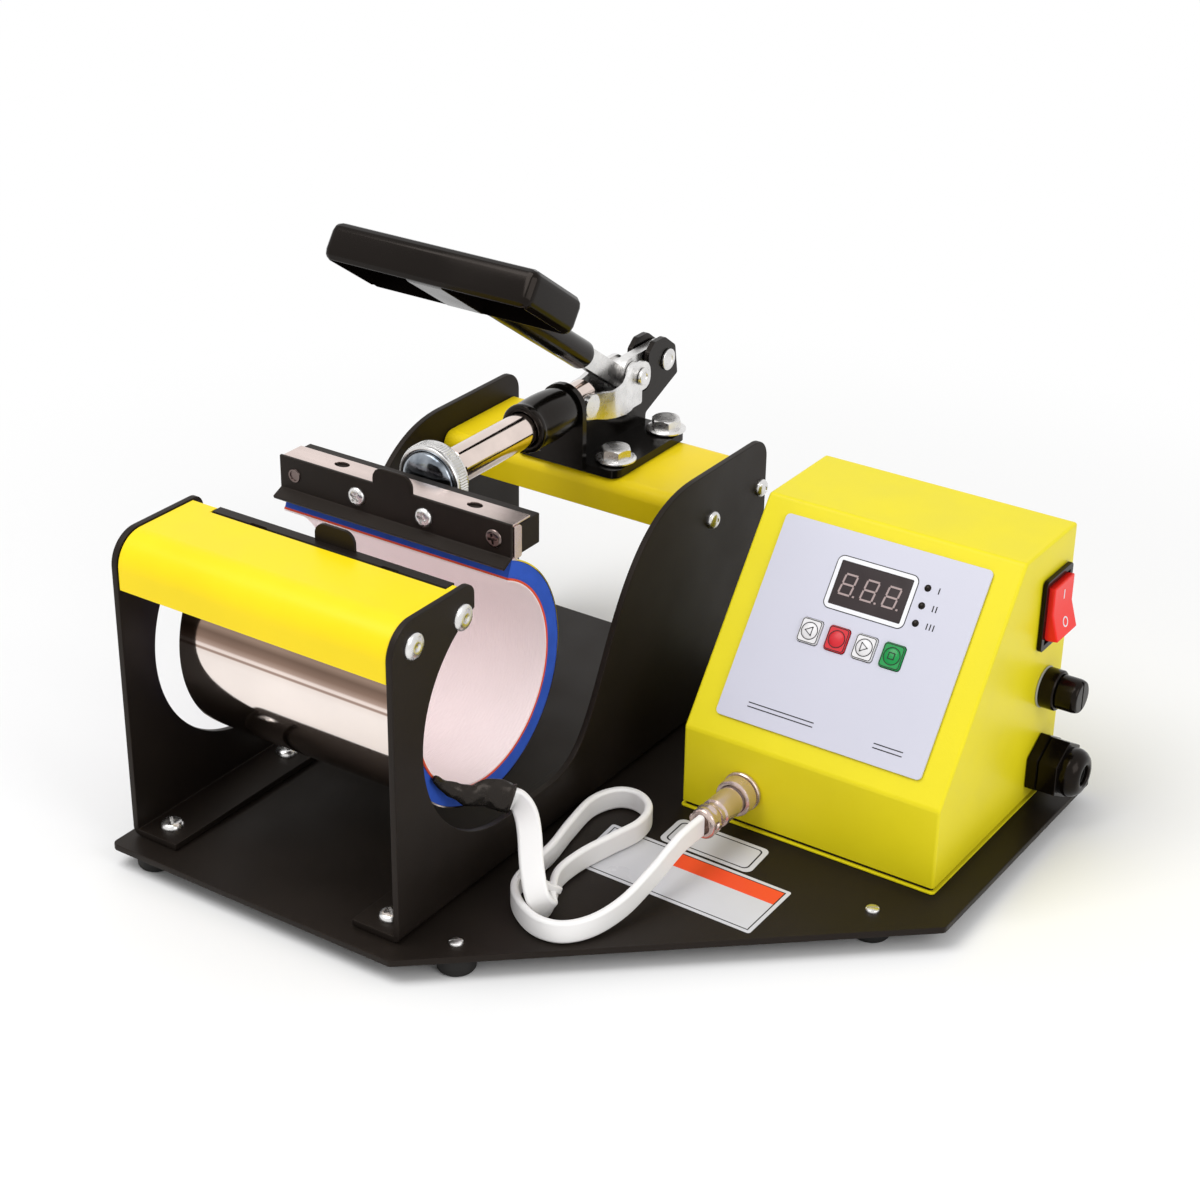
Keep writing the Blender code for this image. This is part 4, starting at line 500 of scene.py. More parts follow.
CORD_WIDTH = 0.0100
CORD_THICK = 0.0034
CORD_ROUTE = (
    (0.1527, 0.0735, 0.0392), (0.1559, 0.0756, 0.0380), (0.1612, 0.0734, 0.0352),
    (0.1675, 0.0672, 0.0310), (0.1745, 0.0590, 0.0220), (0.1800, 0.0550, 0.0125),
    (0.1825, 0.0590, 0.0056), (0.1785, 0.0675, 0.0052), (0.1730, 0.0800, 0.0052),
    (0.1730, 0.0960, 0.0052), (0.1765, 0.1130, 0.0052), (0.1800, 0.1290, 0.0052),
    (0.1770, 0.1415, 0.0052), (0.1680, 0.1480, 0.0052), (0.1585, 0.1455, 0.0052),
    (0.1535, 0.1330, 0.0052), (0.1560, 0.1130, 0.0052), (0.1600, 0.0930, 0.0052),
    (0.1610, 0.0750, 0.0052), (0.1640, 0.0620, 0.0052), (0.1730, 0.0525, 0.0052),
    (0.1850, 0.0470, 0.0052), (0.1960, 0.0490, 0.0052), (0.2040, 0.0590, 0.0058),
    (0.2082, 0.0750, 0.0078), (0.2098, 0.0930, 0.0125), (0.2103, 0.1060, 0.0165),
    (0.2103, 0.1155, 0.0182), (0.2103, 0.1292, 0.0183),
)
SLEEVE_ROUTE = (
    (0.1341, 0.0487, 0.0543), (0.1350, 0.0535, 0.0490), (0.1378, 0.0585, 0.0446),
    (0.1420, 0.0620, 0.0425), (0.1460, 0.0690, 0.0418), (0.1520, 0.0730, 0.0395),
    (0.1540, 0.0743, 0.0387),
)
# Places along the cord's route, in route points: where the strap faces the camera as it comes
# down, where it starts to turn near the base, and where it stands on its edge
COMES_DOWN, TURNS, STANDS = 3.0, 4.6, 7.0


def smooth_route(route, parts=10):
    """Points on a smooth curve through the route, each with its place along it in route points."""
    ends = (route[0], *route, route[-1])
    points = []
    for k in range(1, len(ends) - 2):
        a, b, c, d = (Vector(p) for p in ends[k - 1:k + 3])
        for part in range(parts):
            t = part / parts
            point = 0.5 * (2 * b + (c - a) * t + (2 * a - 5 * b + 4 * c - d) * t * t
                + (3 * b - a - 3 * c + d) * t ** 3)
            points.append((point, k - 1 + t))
    points.append((Vector(route[-1]), len(route) - 1.0))
    return points


def swept(points, across, section):
    """A section carried along points; across gives the direction of its width at each of them."""
    shape = bmesh.new()
    rings = []
    for k, point in enumerate(points):
        ahead = (points[min(k + 1, len(points) - 1)] - points[max(k - 1, 0)]).normalized()
        wide = (across[k] - ahead * across[k].dot(ahead)).normalized()
        thin = ahead.cross(wide)
        rings.append([shape.verts.new(point + wide * u + thin * v) for u, v in section(k)])
    banded(shape, zip(rings, rings[1:]))
    shape.faces.new(rings[0])
    shape.faces.new(rings[-1])
    return closed(shape)


def from_bench(points):
    return [point + BENCH.translation for point in points]


def cord_direction(at):
    """The direction of the strap's width at a place along its route."""
    up = Vector((0, 0, 1))
    aside = Vector((0.83, 0.56, 0.0))
    if at < COMES_DOWN:
        return up.lerp(aside, at / COMES_DOWN)
    if at < TURNS:
        return aside
    if at < STANDS:
        return aside.lerp(up, (at - TURNS) / (STANDS - TURNS))
    return up


def heater_cord():
    """The strap, the points that it follows, and their length."""
    route = smooth_route(CORD_ROUTE)
    points = from_bench([point for point, at in route])
    half, thin = CORD_WIDTH / 2, CORD_THICK / 2
    flat = rectangle(-half, half, -thin, thin, thin * 0.8, 5)
    across = [cord_direction(at) for point, at in route]
    strap = show("heater_cord_strap", swept(points, across, lambda k: flat), WHITE, "heater_cord",
        where=METRES, sharp=60)
    return strap, points, sum((q - p).length for p, q in zip(points, points[1:]))


def shrink_sleeve():
    """The creased black sleeve, which widens from its tip on the heater to the strap."""
    points = from_bench([point for point, at in smooth_route(SLEEVE_ROUTE, 12)])
    last = len(points) - 1
    corners = 28

    def section(k):
        share = k / last
        opened = min(1.0, share * 1.35)
        wide = 1.3 + 5.2 * opened - 0.3 * share
        thin = 0.7 + 2.7 * opened
        outline = []
        for step in range(corners):
            angle = 2 * pi * step / corners
            across, down = cos(angle), sin(angle)
            crease = noise.noise(Vector((across * 2.2, down * 2.2, share * 9.0)))
            grow = 1 + 0.16 * crease + 0.03 * sin(share * 34 + angle * 2)
            outline.append((wide * grow * across * MM, thin * grow * down * MM))
        return outline

    across = [Vector((0, 0.35, 1))] * len(points)
    show("cord_sleeve_creased", swept(points, across, section), SHRINK, "cord_sleeve", where=METRES,
        sharp=70)


def cord_tie():
    """A soft tie that holds the strap's turns together behind its first fall."""
    away = Vector((-0.491, 0.742, -0.455))
    aside = Vector((0.751, 0.507, -0.423)).normalized()
    depth = (away - aside * away.dot(aside)).normalized()
    centre = Vector((0.1771, 0.0608, 0.0140)) + away * 0.0050
    steps = 40
    path = []
    for step in range(steps + 1):
        angle = 2 * pi * step / steps
        path.append(centre + aside * (0.0088 * cos(angle)) + depth * (0.0032 * sin(angle)))
    outline = rectangle(-0.0015, 0.0015, -0.0008, 0.0008, 0.0007, 3)
    across = [aside.cross(depth)] * len(path)
    return show("cord_tie", swept(from_bench(path), across, lambda k: outline), PALE, where=METRES,
        sharp=60)


cord, cord_points, cord_length = heater_cord()
shrink_sleeve()
cord_tie()


# Base plate, feet and screws

def base_outline(radius):
    return rounded(((0, 0, radius), (148, 0, radius), (316, 146, radius), (316, 288, radius),
        (0, 288, radius)))


show("base_plate_eased", prism(base_outline(3), -3, 0), BLACK, "base_plate", edge=0.45)


def slotted_screw(x, y):
    """A domed head of 3 mm radius on the base plate, with a turned slot."""
    head = lathe([(0, 1.5), (1.8, 1.45), (2.7, 1.1), (3, 0.5), (3, 0)], "Z", (x, y, 0), 28)
    slot = block((x - 4, y - 0.4, 0.8), (x + 4, y + 0.4, 3))
    turn = shift((x, y, 0)) @ turned(0.6, "Z") @ shift((-x, -y, 0))
    return carved(head, moved(slot, turn))


def feet():
    places = {
        "foot_front_left": (14, 12), "foot_front_middle": (162, 25),
        "foot_front_right": (286, 140), "foot_rear_left": (14, 276),
        "foot_rear_right": (302, 276),
    }
    profile = [(0, -7.3), (3.4, -7.2), (3.6, -11.1), (4.2, -11.3), (6.6, -11.3), (7.6, -10.9),
        (8.1, -10.0), (8.5, -4.2), (8.3, -3.4), (7.8, -3.1), (0, -3.1)]
    for name, (x, y) in places.items():
        show(name + "_turned", lathe(profile, "Z", (x, y, 0), 40), RUBBER, name, sharp=50)
        if name != "foot_front_left":       # its screw would be under the side plate's flange
            show(name + "_screw", slotted_screw(x, y), STEEL, edge=0.15)


feet()


# Side plates, each with its flange bent inward under it

PLATE_IN = 68               # from the press's middle to a plate's inner face
PLATE_THICK = 3
PLATE_OUT = PLATE_IN + PLATE_THICK
PLATE_FRONT, PLATE_BACK = 10.5, 286
BEND_Z = 6.0                # where the plate meets the flange's bend
U_CENTRE, U_RADIUS = (83.5, 77.4), 55


def plate_outline():
    tip = degrees(acos((62.5 - U_CENTRE[0]) / U_RADIUS))
    points = [(PLATE_FRONT, BEND_Z)]
    points += arc((24.5, 125.5), 14, 180, 90, 16)
    points += arc((57.5, 134.5), 5, 90, 0, 8)
    points += arc(U_CENTRE, U_RADIUS, tip, 270, 64)
    points.append((112, 22.4))
    points += bezier((112, 22.4), (135, 22.4), (141, 33), (157, 66))
    points += bezier((157, 66), (173, 99), (190, 122), (225, 122))
    points += arc((276, 112), 10, 90, 0, 10)
    points.append((PLATE_BACK, BEND_Z))
    return points


def side_plate(name, side):
    inner = X_MID + side * PLATE_IN
    outer = X_MID + side * PLATE_OUT
    plate = prism(plate_outline(), min(inner, outer), max(inner, outer), "X")
    bend = (outer - side * 3.5, 3.8)
    start = 180 if side < 0 else 0
    end = start - side * 90
    edge = outer - side * 24
    foot = [(outer, BEND_Z)] + arc(bend, 3.5, start, end, 8) + [(edge, 0.3), (edge, 3.3)]
    foot += arc(bend, 0.5, end, start, 4) + [(inner, BEND_Z)]
    flange = prism(foot, PLATE_FRONT, PLATE_BACK, "Y")
    seam = BENCH.translation.z + BEND_Z * MM
    show(name + "_bent", together(plate, flange), BLACK, name, edge=0.5,
        only=lambda e: any(abs(v.co.z - seam) > 1e-5 for v in e.verts))


side_plate("left_side_plate", -1)
side_plate("right_side_plate", 1)


def dome_rivet(x, y, z, side, radius, height):
    """A low domed rivet head on an X face, with the small dent of its setting."""
    flat = 0.30
    profile = [(0, height * 0.86), (radius * 0.22, height * 0.88), (radius * flat, height)]
    for step in range(1, 9):
        angle = radians(90 * step / 8)
        profile.append((radius * (flat + (1 - flat) * sin(angle)),
            height * (0.12 + 0.88 * cos(angle))))
    profile.append((radius, 0))
    return lathe([(r, side * t) for r, t in profile], "X", (x, y, z), 36)


def pan_screw(axis, centre, direction, radius, height, angle=0.4):
    """A pan head with a cross recess; direction is the way it faces along its axis."""
    profile = [(0, height), (radius * 0.5, height * 0.98), (radius * 0.78, height * 0.84),
        (radius * 0.94, height * 0.55), (radius, height * 0.2), (radius, 0)]
    head = lathe([(r, direction * t) for r, t in profile], axis, centre, 36)
    onto = {"X": turned(pi / 2 * direction, "Y"), "Y": turned(-pi / 2 * direction, "X"),
        "Z": turned(0 if direction > 0 else pi, "X")}[axis]
    half, thin = radius * 0.58, radius * 0.14
    arms = []
    for extra in (0, pi / 2):
        arm = block((-half, -thin, height * 0.1), (half, thin, height * 1.5))
        arms.append(moved(arm, shift(centre) @ onto @ turned(angle + extra, "Z")))
    return carved(head, *arms)


for side, name in ((-1, "left"), (1, "right")):
    face = X_MID + side * PLATE_OUT
    heads = [dome_rivet(face, y, z, side, 5.6, 1.9) for y, z in ((24, 128), (54.6, 127.2))]
    show(f"cover_rivets_{name}", together(*heads), STEEL)
    heads = [dome_rivet(face, y, z, side, 4.2, 3.0) for y, z in ((238.9, 98.1), (280.8, 98.2))]
    show(f"crossbar_rivets_{name}", together(*heads), STEEL)
    x = X_MID + side * 58.6
    heads = [pan_screw("Z", (x, y, 3.4), 1, 5.0, 2.6, 0.3 + y) for y in (21, 95, 200, 268)]
    show(f"flange_screws_{name}", together(*heads), STEEL)


# Front cover with its anchor strip, and the rear crossbar

LOOP_Y, LOOP_Z, LOOP_RADIUS = 85, 80, 52.4      # the heater's outer face
LOOP_START, LOOP_END = radians(155), radians(428)
COVER_LEFT, COVER_RIGHT = 6.3, 141.7


def heater_line(along, out):
    """A point beside the heater's straight front end: along it, and out from its outer face."""
    reach = LOOP_RADIUS + out
    return (LOOP_Y + reach * cos(LOOP_START) + along * sin(LOOP_START),
        LOOP_Z + reach * sin(LOOP_START) - along * cos(LOOP_START))


def line_y(z, out):
    """The y where that line passes a height."""
    start = heater_line(0, out)[1]
    return heater_line((z - start) / -cos(LOOP_START), out)[0]


def cover_bend(radius, steps=20):
    return arc((25, 125), radius, 180, 90, steps)


def front_cover():
    outline = [(11, 116)] + cover_bend(14) + [(56, 139), (56, 137)]
    outline += cover_bend(12)[::-1] + [(13, 116)]
    notch = line_y(137, 1.8) - 0.3
    sheet = carved(prism(outline, COVER_LEFT, COVER_RIGHT, "X"),
        block((19.7, notch, 130), (139.3, 60, 145)))
    ear = [(12, 121)] + cover_bend(13, 12) + [(54, 138), (60, 132), (60, 121)]
    ears = [prism(ear, low, low + 2, "X") for low in (COVER_LEFT, COVER_RIGHT - 2)]
    show("front_cover_bent", together(sheet, *ears), YELLOW, "front_cover", edge=0.3)


def heater_anchor():
    """The strip that holds the heater's front end, with its tab and two slots."""
    low, high = 137.5, 139
    section = [(line_y(low, 0.3), low), (57.5, low), (57.5, high), (line_y(high, 1.8), high),
        heater_line(23, 1.8), heater_line(23, 0.3)]
    slots = [slab(x - 4.5, x + 4.5, 50.6, 53.4, 130, 142, 1.3) for x in (44.5, 111.5)]
    strip = carved(prism(section, 20, 139, "X"), *slots)
    tab = rounded(((71, low, 0), (91, low, 0), (91, 147, 5), (71, 147, 5)), 12)
    show("heater_anchor_strip", together(strip, prism(tab, 56, 57.5, "Y")), BLACK,
        "heater_anchor", edge=0.3)


def rear_crossbar():
    shell = rounded(((225, 94, 0), (225, 110, 6), (285, 110, 6), (285, 94, 0)), 14)
    inside = rounded(((227, 90, 0), (227, 108, 4), (283, 108, 4), (283, 90, 0)), 10)
    folded = carved(prism(shell, COVER_LEFT, COVER_RIGHT, "X"),
        prism(inside, COVER_LEFT + 2, COVER_RIGHT - 2, "X"))
    show("rear_crossbar_folded", folded, YELLOW, "rear_crossbar", edge=0.35)


front_cover()
heater_anchor()
rear_crossbar()


# Toggle clamp

def hex_bolt(x, y):
    """A flanged hexagon head with a dished top, seated on the clamp."""
    centre = (x, y, 0)
    flange = lathe([(0, 114.7), (8.8, 114.7), (9.3, 115.0), (9.3, 115.6), (8.6, 116.1),
        (7.4, 116.5), (0, 116.6)], "Z", centre, 48)
    cone = lathe([(0, 116.0), (8.4, 116.0), (8.4, 118.9), (6.2, 120.62), (0, 120.62)], "Z", centre,
        48)
    head = carved(prism(circle((x, y), 7.1, 6, 12), 116.2, 120.6), cone, operation="INTERSECT")
    dish = lathe([(0, 120.25), (3.9, 120.3), (4.6, 120.75), (4.6, 122), (0, 122)], "Z", centre, 36)
    return together(flange, carved(head, dish))


def headed_pin(y, half, radius, height):
    """A rivet along X through the clamp, with a low head at each end."""
    end = half + height
    profile = [(0, end - 0.5), (radius * 0.40, end - 0.5), (radius * 0.52, end),
        (radius * 0.84, end), (radius, end - 0.5), (radius, half), (3.0, half)]
    profile += [(r, -t) for r, t in reversed(profile)]
    return lathe(profile, "X", (X_MID, y, AXIS_Z), 40)


dressed("clamp_base", GLOSS_BLACK, 0.8, 3)
barrel = [(8.4, 193.3), (9.4, 192.9), (10.6, 193.2), (11.2, 194.0), (11.3, 195.2), (11.1, 196.2),
    (10.9, 196.8), (11.0, 199), (11.3, 204), (11.4, 209), (11.2, 214), (10.8, 218), (10.4, 221),
    (9.9, 222.5), (9.2, 223.2), (8.4, 223.2)]
show("guide_barrel_cap", lathe(barrel, "Y", (X_MID, 0, AXIS_Z), 64), VINYL, "guide_barrel",
    sharp=50)
for number, (x, y) in enumerate(((54, 238), (54, 280), (94, 238), (94, 280)), 1):
    show(f"clamp_bolt_{number}_hex", hex_bolt(x, y), STEEL, f"clamp_bolt_{number}", edge=0.15)
show("ear_pin_headed", headed_pin(301.5, 6.3, 5.2, 1.5), STEEL, "ear_pin", edge=0.15)
show("link_pin_headed", headed_pin(276.5, 8.9, 4.2, 1.2), STEEL, "link_pin", body="handle",
    edge=0.15)
dressed("toggle_link_left", STEEL, 0.5)
dressed("toggle_link_right", STEEL, 0.5)
dressed("handle_lever", STEEL, 0.7)


# Plunger and pressure knob

def plunger():
    """A turned rod with a collar, two flats at its rear and a thin end in the press bar."""
    profile = [(0, 241), (7.4, 241), (8, 240.4), (8, 142.6), (7.4, 142.0), (6.2, 142.0),
        (6.2, 139.3), (9.3, 139.2), (9.5, 138.9), (9.5, 137.0), (9.3, 136.7), (2.5, 136.7),
        (2.5, 111.5), (0, 111.5)]
    flats = [block((X_MID - 12, 216, 125), (X_MID - 6, 245, 155)),
        block((X_MID + 6, 216, 125), (X_MID + 12, 245, 155))]
    show("plunger_turned", carved(lathe(profile, "Y", (X_MID, 0, AXIS_Z), 72), *flats), CHROME,
        "plunger", body="plunger", sharp=30)


def pressure_knob():
    centre = (X_MID, 0, AXIS_Z)
    band = prism(knurled((X_MID, AXIS_Z), 16.1, 0.4, 84), 127.4, 132.3, "Y")
    rim = lathe([(12.9, 127.6), (13.3, 126.0), (14.2, 125.6), (15.2, 125.9), (15.7, 126.7),
        (15.7, 133.0), (15.2, 133.7), (12, 133.9), (9.0, 134.0), (8.6, 135.1), (3, 135.1),
        (3, 127.6)], "Y", centre, 72)
    show("pressure_knob_knurled", together(band, rim), STEEL, "pressure_knob", body="knob",
        edge=0.12)
    dome = [(13.0, 127.0), (13.0, 126.0)]
    for step in range(1, 12):
        angle = radians(90 * step / 12)
        dome.append((12.9 * cos(angle), 125.6 - 3.4 * sin(angle)))
    dome += [(3.0, 122.2), (3.0, 127.0)]
    show("pressure_knob_disc", lathe(dome, "Y", centre, 64), DISC, body="knob")


plunger()
pressure_knob()


# Press bar, the heater's end strip and the bar's screws

def end_strip():
    """The strip: up between the bars, folded back over the rear one, and down at its end."""
    section = [(103.3, 129.2), (104.2, 129.2), (104.2, 143.5), (115.2, 143.5), (115.2, 144.4),
        (103.3, 144.4)]
    holes = []
    for x in (41, 110):
        oval = [(x + 3.6 * cos(a), 110 + 2.5 * sin(a))
            for a in (radians(12 * k) for k in range(30))]
        holes.append(prism(oval, 140, 147))
    end = rounded(((103.3, 129.2, 1), (108.2, 129.2, 1), (108.2, 143.6, 2), (103.3, 143.6, 0)))
    strip = carved(prism(section, 14.3, 133.7, "X"), *holes)
    show("end_strip_folded", together(strip, prism(end, 133.8, 134.6, "X")), SATIN, "end_strip",
        body="plunger", edge=0.15)


BAR_FACE = 101.5
dressed("press_bar", BLACK, 0.4)
dressed("backing_bar", BLACK, 0.5)
end_strip()
heads = [pan_screw("Y", (x, BAR_FACE, 136.8), -1, 4.2, 1.9, 0.5 + x) for x in (55.5, 90.4)]
show("bar_screws", together(*heads), STEEL, body="plunger", edge=0.12)
show("bar_screw_end", pan_screw("Y", (125.6, BAR_FACE, 137.2), -1, 4.0, 1.3, 0.2), DARK_STEEL_AND_HOLE_SHADE,
    body="plunger", edge=0.25)
# The thread hole is drawn as a flat disc just in front of the bar's face, inside a low raised rim;
# its dark colour is painted shade for the inside of the hole.
hole = [(0, BAR_FACE - 0.04), (2.1, BAR_FACE - 0.04), (2.2, 101.0), (2.9, 100.9), (3.1, BAR_FACE),
    (0, BAR_FACE)]
show("bar_thread_hole_shade", lathe(hole, "Y", (22, 0, 137.4), 32), DARK_STEEL_AND_HOLE_SHADE, body="plunger")


# Heater: each layer is one loop in a fixed place, from its straight front end round its arc


def heater_path():
    """Points along the loop's outer face with their outward directions."""
    direction = (cos(LOOP_START), sin(LOOP_START))
    path = [(heater_line(30 * (1 - step / 10), 0), direction) for step in range(10)]
    for step in range(121):
        angle = LOOP_START + (LOOP_END - LOOP_START) * step / 120
        n = (cos(angle), sin(angle))
        path.append(((LOOP_Y + LOOP_RADIUS * n[0], LOOP_Z + LOOP_RADIUS * n[1]), n))
    return path


def loop_layer(name, finish, outer, inner, left, right, *nodes, rough=0.0):
    """A layer between two depths below the loop's outer face; rough makes its ends uneven."""
    shape = bmesh.new()
    rows = []
    for index, ((y, z), (ny, nz)) in enumerate(heater_path()):
        ring = []
        for x, depth in ((left, outer), (right, outer), (right, inner), (left, inner)):
            if rough:
                x += rough * noise.noise(Vector((x, index * 0.9, depth * 0.7)))
            ring.append(shape.verts.new((x, y - ny * depth, z - nz * depth)))
        rows.append(ring)
    banded(shape, zip(rows, rows[1:]))
    shape.faces.new(rows[0])
    shape.faces.new(rows[-1])
    piece = show(name, closed(shape), finish, *nodes, body=None, sharp=50)
    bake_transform(piece)
    return piece


loop_layer("heater_band_loop", BAND, 0, 0.6, 15.5, 132.5, "heater_band_front", "heater_band_rear")
foam = loop_layer("heater_foam_loop", FOAM, 0.7, 8.0, 15.7, 132.2, "heater_foam_front",
    "heater_foam_rear", rough=0.35)
loop_layer("heater_mat_loop", ORANGE, 8.0, 8.9, 15.4, 132.7, "heater_mat_front", "heater_mat_rear",
    rough=0.1)
liner = loop_layer("heater_liner_loop", LINER, 8.9, 9.5, 15.6, 132.5)


# Lever's sleeve and the paddle

def grip_sleeve():
    def wrinkle(angle, index):
        around = Vector((cos(angle) * 1.5, sin(angle) * 1.5, index * 0.8))
        return 0.10 * noise.noise(around)

    profile = [(0, -36.4), (3.0, -36.2), (5.9, -36.2), (6.5, -36.5), (6.75, -37.2)]
    profile += [(6.75, -40 - 6 * k) for k in range(15)]
    profile += [(6.75, -129.0), (6.4, -129.5), (0, -129.5)]
    show("grip_sleeve_vinyl", lathe(profile, "Y", (0, 0, 0), 48, wrinkle), VINYL, "grip_sleeve",
        body="handle", where=LEVER, sharp=50)


grip_sleeve()
dressed("paddle_grip", PLASTIC, 0.7, 2, 25)


# Control box

WALL = 1.5
FUSE_Y, FUSE_Z = 258.6, 54.7
GLAND_Y, GLAND_Z = 260, 17
PLUG_X, PLUG_Z = 210.3, 18.3
BUTTON_XS = [40.9 + 12.9 * k for k in range(4)]     # on the panel
BUTTON_V = 54.4


def box_side(inset, bottom):
    """The box's outline from the side, moved inward by inset."""
    front, back, top = BOX_FRONT + inset, BOX_BACK - inset, BOX_TOP - inset
    slope_z = SLOPE_Z - inset * tan((pi / 2 - SLOPE) / 2)
    slope_y = SLOPE_Y + inset * tan(SLOPE / 2)
    return [(front, bottom), (front, slope_z), (slope_y, top), (back, top), (back, bottom)]


def bore(axis, centre, radius, low, high):
    return lathe([(0, low), (radius, low), (radius, high), (0, high)], axis, centre, 40)


def control_box():
    bottom = 3.0
    shell = prism(box_side(0, bottom), BOX_LEFT, BOX_RIGHT, "X")
    edges = [e for e in shell.edges if e.calc_face_angle(0) > 0.3
        and any(v.co.z > bottom + 0.1 for v in e.verts)]
    bmesh.ops.bevel(shell, geom=edges, offset=1.3, segments=4, profile=0.5, affect="EDGES",
        clamp_overlap=True)
    cutters = [
        prism(box_side(WALL, -2), BOX_LEFT + WALL, BOX_RIGHT - WALL, "X"),
        block((297, 246.4, 78.4), (304, 269.6, 108.6)),
        bore("X", (0, FUSE_Y, FUSE_Z), 6.5, 294, 306),
        bore("X", (0, GLAND_Y, GLAND_Z), 9.8, 294, 306),
        bore("Y", (PLUG_X, 0, PLUG_Z), 6.8, 158, 168),
    ]
    windows = [(43.8, 68, 33.9, 19.5)] + [(x - 4.75, 49.15, 9.5, 10.5) for x in BUTTON_XS]
    for u, v, width, height in windows:
        hole = block((u - 0.4, v - 0.4, -5), (u + width + 0.4, v + height + 0.4, 5))
        cutters.append(moved(hole, BENCH.inverted() @ PANEL))
    show("control_box_shell", carved(shell, *cutters), LEMON, "control_box", sharp=30)


control_box()
show("box_tray_sheet", slab(179.6, 301.7, 162.8, 277.0, 0.25, 1.15, 1.8), LEMON, "box_tray",
    edge=0.2)
# A black strip set a little inside the box's walls, as painted shade for the dark gap between the
# box and its tray.
show("box_tray_gap_shade", slab(181.2, 300.1, 164.4, 275.4, 1.15, 3.2, 1.3), BLACK)


# Control panel; heights are over the box's sloping face

TOP = 1.3                   # the overlay's face
PRINT = TOP + 0.06
LAMP_VS = (85.8, 78.1, 70.4)


def bar(u0, v0, u1, v1, width, low, high):
    """A straight printed line."""
    along = Vector((u1 - u0, v1 - v0)).normalized() * (width / 2)
    side = Vector((-along.y, along.x))
    a, b = Vector((u0, v0)) - along, Vector((u1, v1)) + along
    return prism([tuple(a - side), tuple(b - side), tuple(b + side), tuple(a + side)], low, high)


def control_panel():
    cutters = [slab(43.5, 78, 67.7, 87.8, -1, 3, 0.6)]
    cutters += [slab(x - 5.05, x + 5.05, 48.85, 59.95, -1, 3, 1.6) for x in BUTTON_XS]
    sheet = carved(slab(12, 109, 9.5, 100.2, 0.3, TOP, 2.2), *cutters)
    show("panel_overlay_sheet", sheet, OVERLAY, "panel_overlay", where=PANEL, edge=0.15)
    printed = []
    for v in (16.4, 18.2):
        printed.append(bar(25.5, v, 56.3, v, 0.45, TOP, PRINT))
        printed.append(bar(84.9, v, 97.9, v, 0.45, TOP, PRINT))
    line = rectangle(42.1, 79.4, 66.3, 89.2, 2.8)
    printed.append(hoop(rectangle(41.7, 79.8, 65.9, 89.6, 3.2), line, TOP, TOP + 0.08))
    for k, v in enumerate(LAMP_VS):
        for x in (89.4 + 1.5 * tick for tick in range(k + 1)):
            printed.append(bar(x, v - 1.1, x, v + 1.1, 0.5, TOP, PRINT))
    show("panel_print", together(*printed), INK, where=PANEL)
    border = hoop(line, rectangle(43.9, 77.6, 68.1, 87.4, 0.5), TOP, TOP + 0.12)
    show("display_border", border, FRAME_WHITE, where=PANEL)
    dome = [(0, TOP + 0.7), (0.8, TOP + 0.6), (1.3, TOP + 0.3), (1.55, TOP), (0, TOP)]
    lamps = [lathe(dome, "Z", (84.2, v, 0), 28) for v in LAMP_VS]
    show("panel_lamps", together(*lamps), GLOSS_BLACK, where=PANEL)


def display():
    """The window, and three leaning digits of seven strokes with a point each."""
    low = TOP - 0.1
    show("display_glass", slab(43.8, 77.7, 68, 87.5, -2.7, low, 0.4), GLASS, "display_window",
        where=PANEL, edge=0.1)
    w, h, gap = 2.7, 4.4, 0.45
    strokes = []
    for x in (50.0, 60.2, 70.4):
        lines = [(gap - w, v, w - gap, v) for v in (h, 0, -h)]
        lines += [(u, a + gap + 0.4, u, b - gap - 0.4)
            for u in (-w, w) for a, b in ((-h, 0), (0, h))]
        lines.append((4.4, -h, 4.5, -h))
        for u0, v0, u1, v1 in lines:
            strokes.append(bar(x + u0 + 0.12 * v0, 77.75 + v0, x + u1 + 0.12 * v1, 77.75 + v1, 0.8,
                low, TOP))
    show("display_digits", together(*strokes), DIGIT, where=PANEL)


def buttons():
    """Four keys with a plain mark each: two arrowheads, a square and none."""
    keys = (("button_left", BUTTON_WHITE), ("button_red", BUTTON_RED),
        ("button_right", BUTTON_WHITE), ("button_green", BUTTON_GREEN))
    v = BUTTON_V
    for x, (name, finish) in zip(BUTTON_XS, keys):
        def square(half, taller, radius):
            return rectangle(x - half, x + half, v - half - taller, v + half + taller, radius)

        dome = lathe([(0, 2.75), (1.6, 2.7), (2.8, 2.5), (3.5, 2.2), (3.5, 2.0), (0, 2.0)], "Z",
            (x, v, 0), 40)
        show(name + "_key", together(prism(square(4.75, 0.5, 1.5), -2.8, 2.2), dome), finish, name,
            body=name, where=PANEL, edge=0.35)
        marks = [hoop(square(4.55, 0.5, 1.4), square(4.2, 0.5, 1.1), 2.15, 2.26),
            hoop(circle((x, v), 3.85), circle((x, v), 3.5), 2.1, 2.28)]
        if finish == BUTTON_WHITE:
            turn = 1 if name == "button_left" else -1
            tip, back = x - 1.8 * turn, x + 1.3 * turn
            for line in ((tip, v, back, v + 1.9), (tip, v, back, v - 1.9),
                    (back, v - 1.9, back, v + 1.9)):
                marks.append(bar(*line, 0.3, 2.2, 2.86))
        if name == "button_green":
            marks.append(hoop(square(1.5, 0, 0.3), square(1.15, 0, 0.2), 2.2, 2.84))
        show(name + "_marks", together(*marks), INK, body=name, where=PANEL)


control_panel()
display()
buttons()


# Rocker switch, fuse holder and gland on the box's right side

TILT = radians(8)


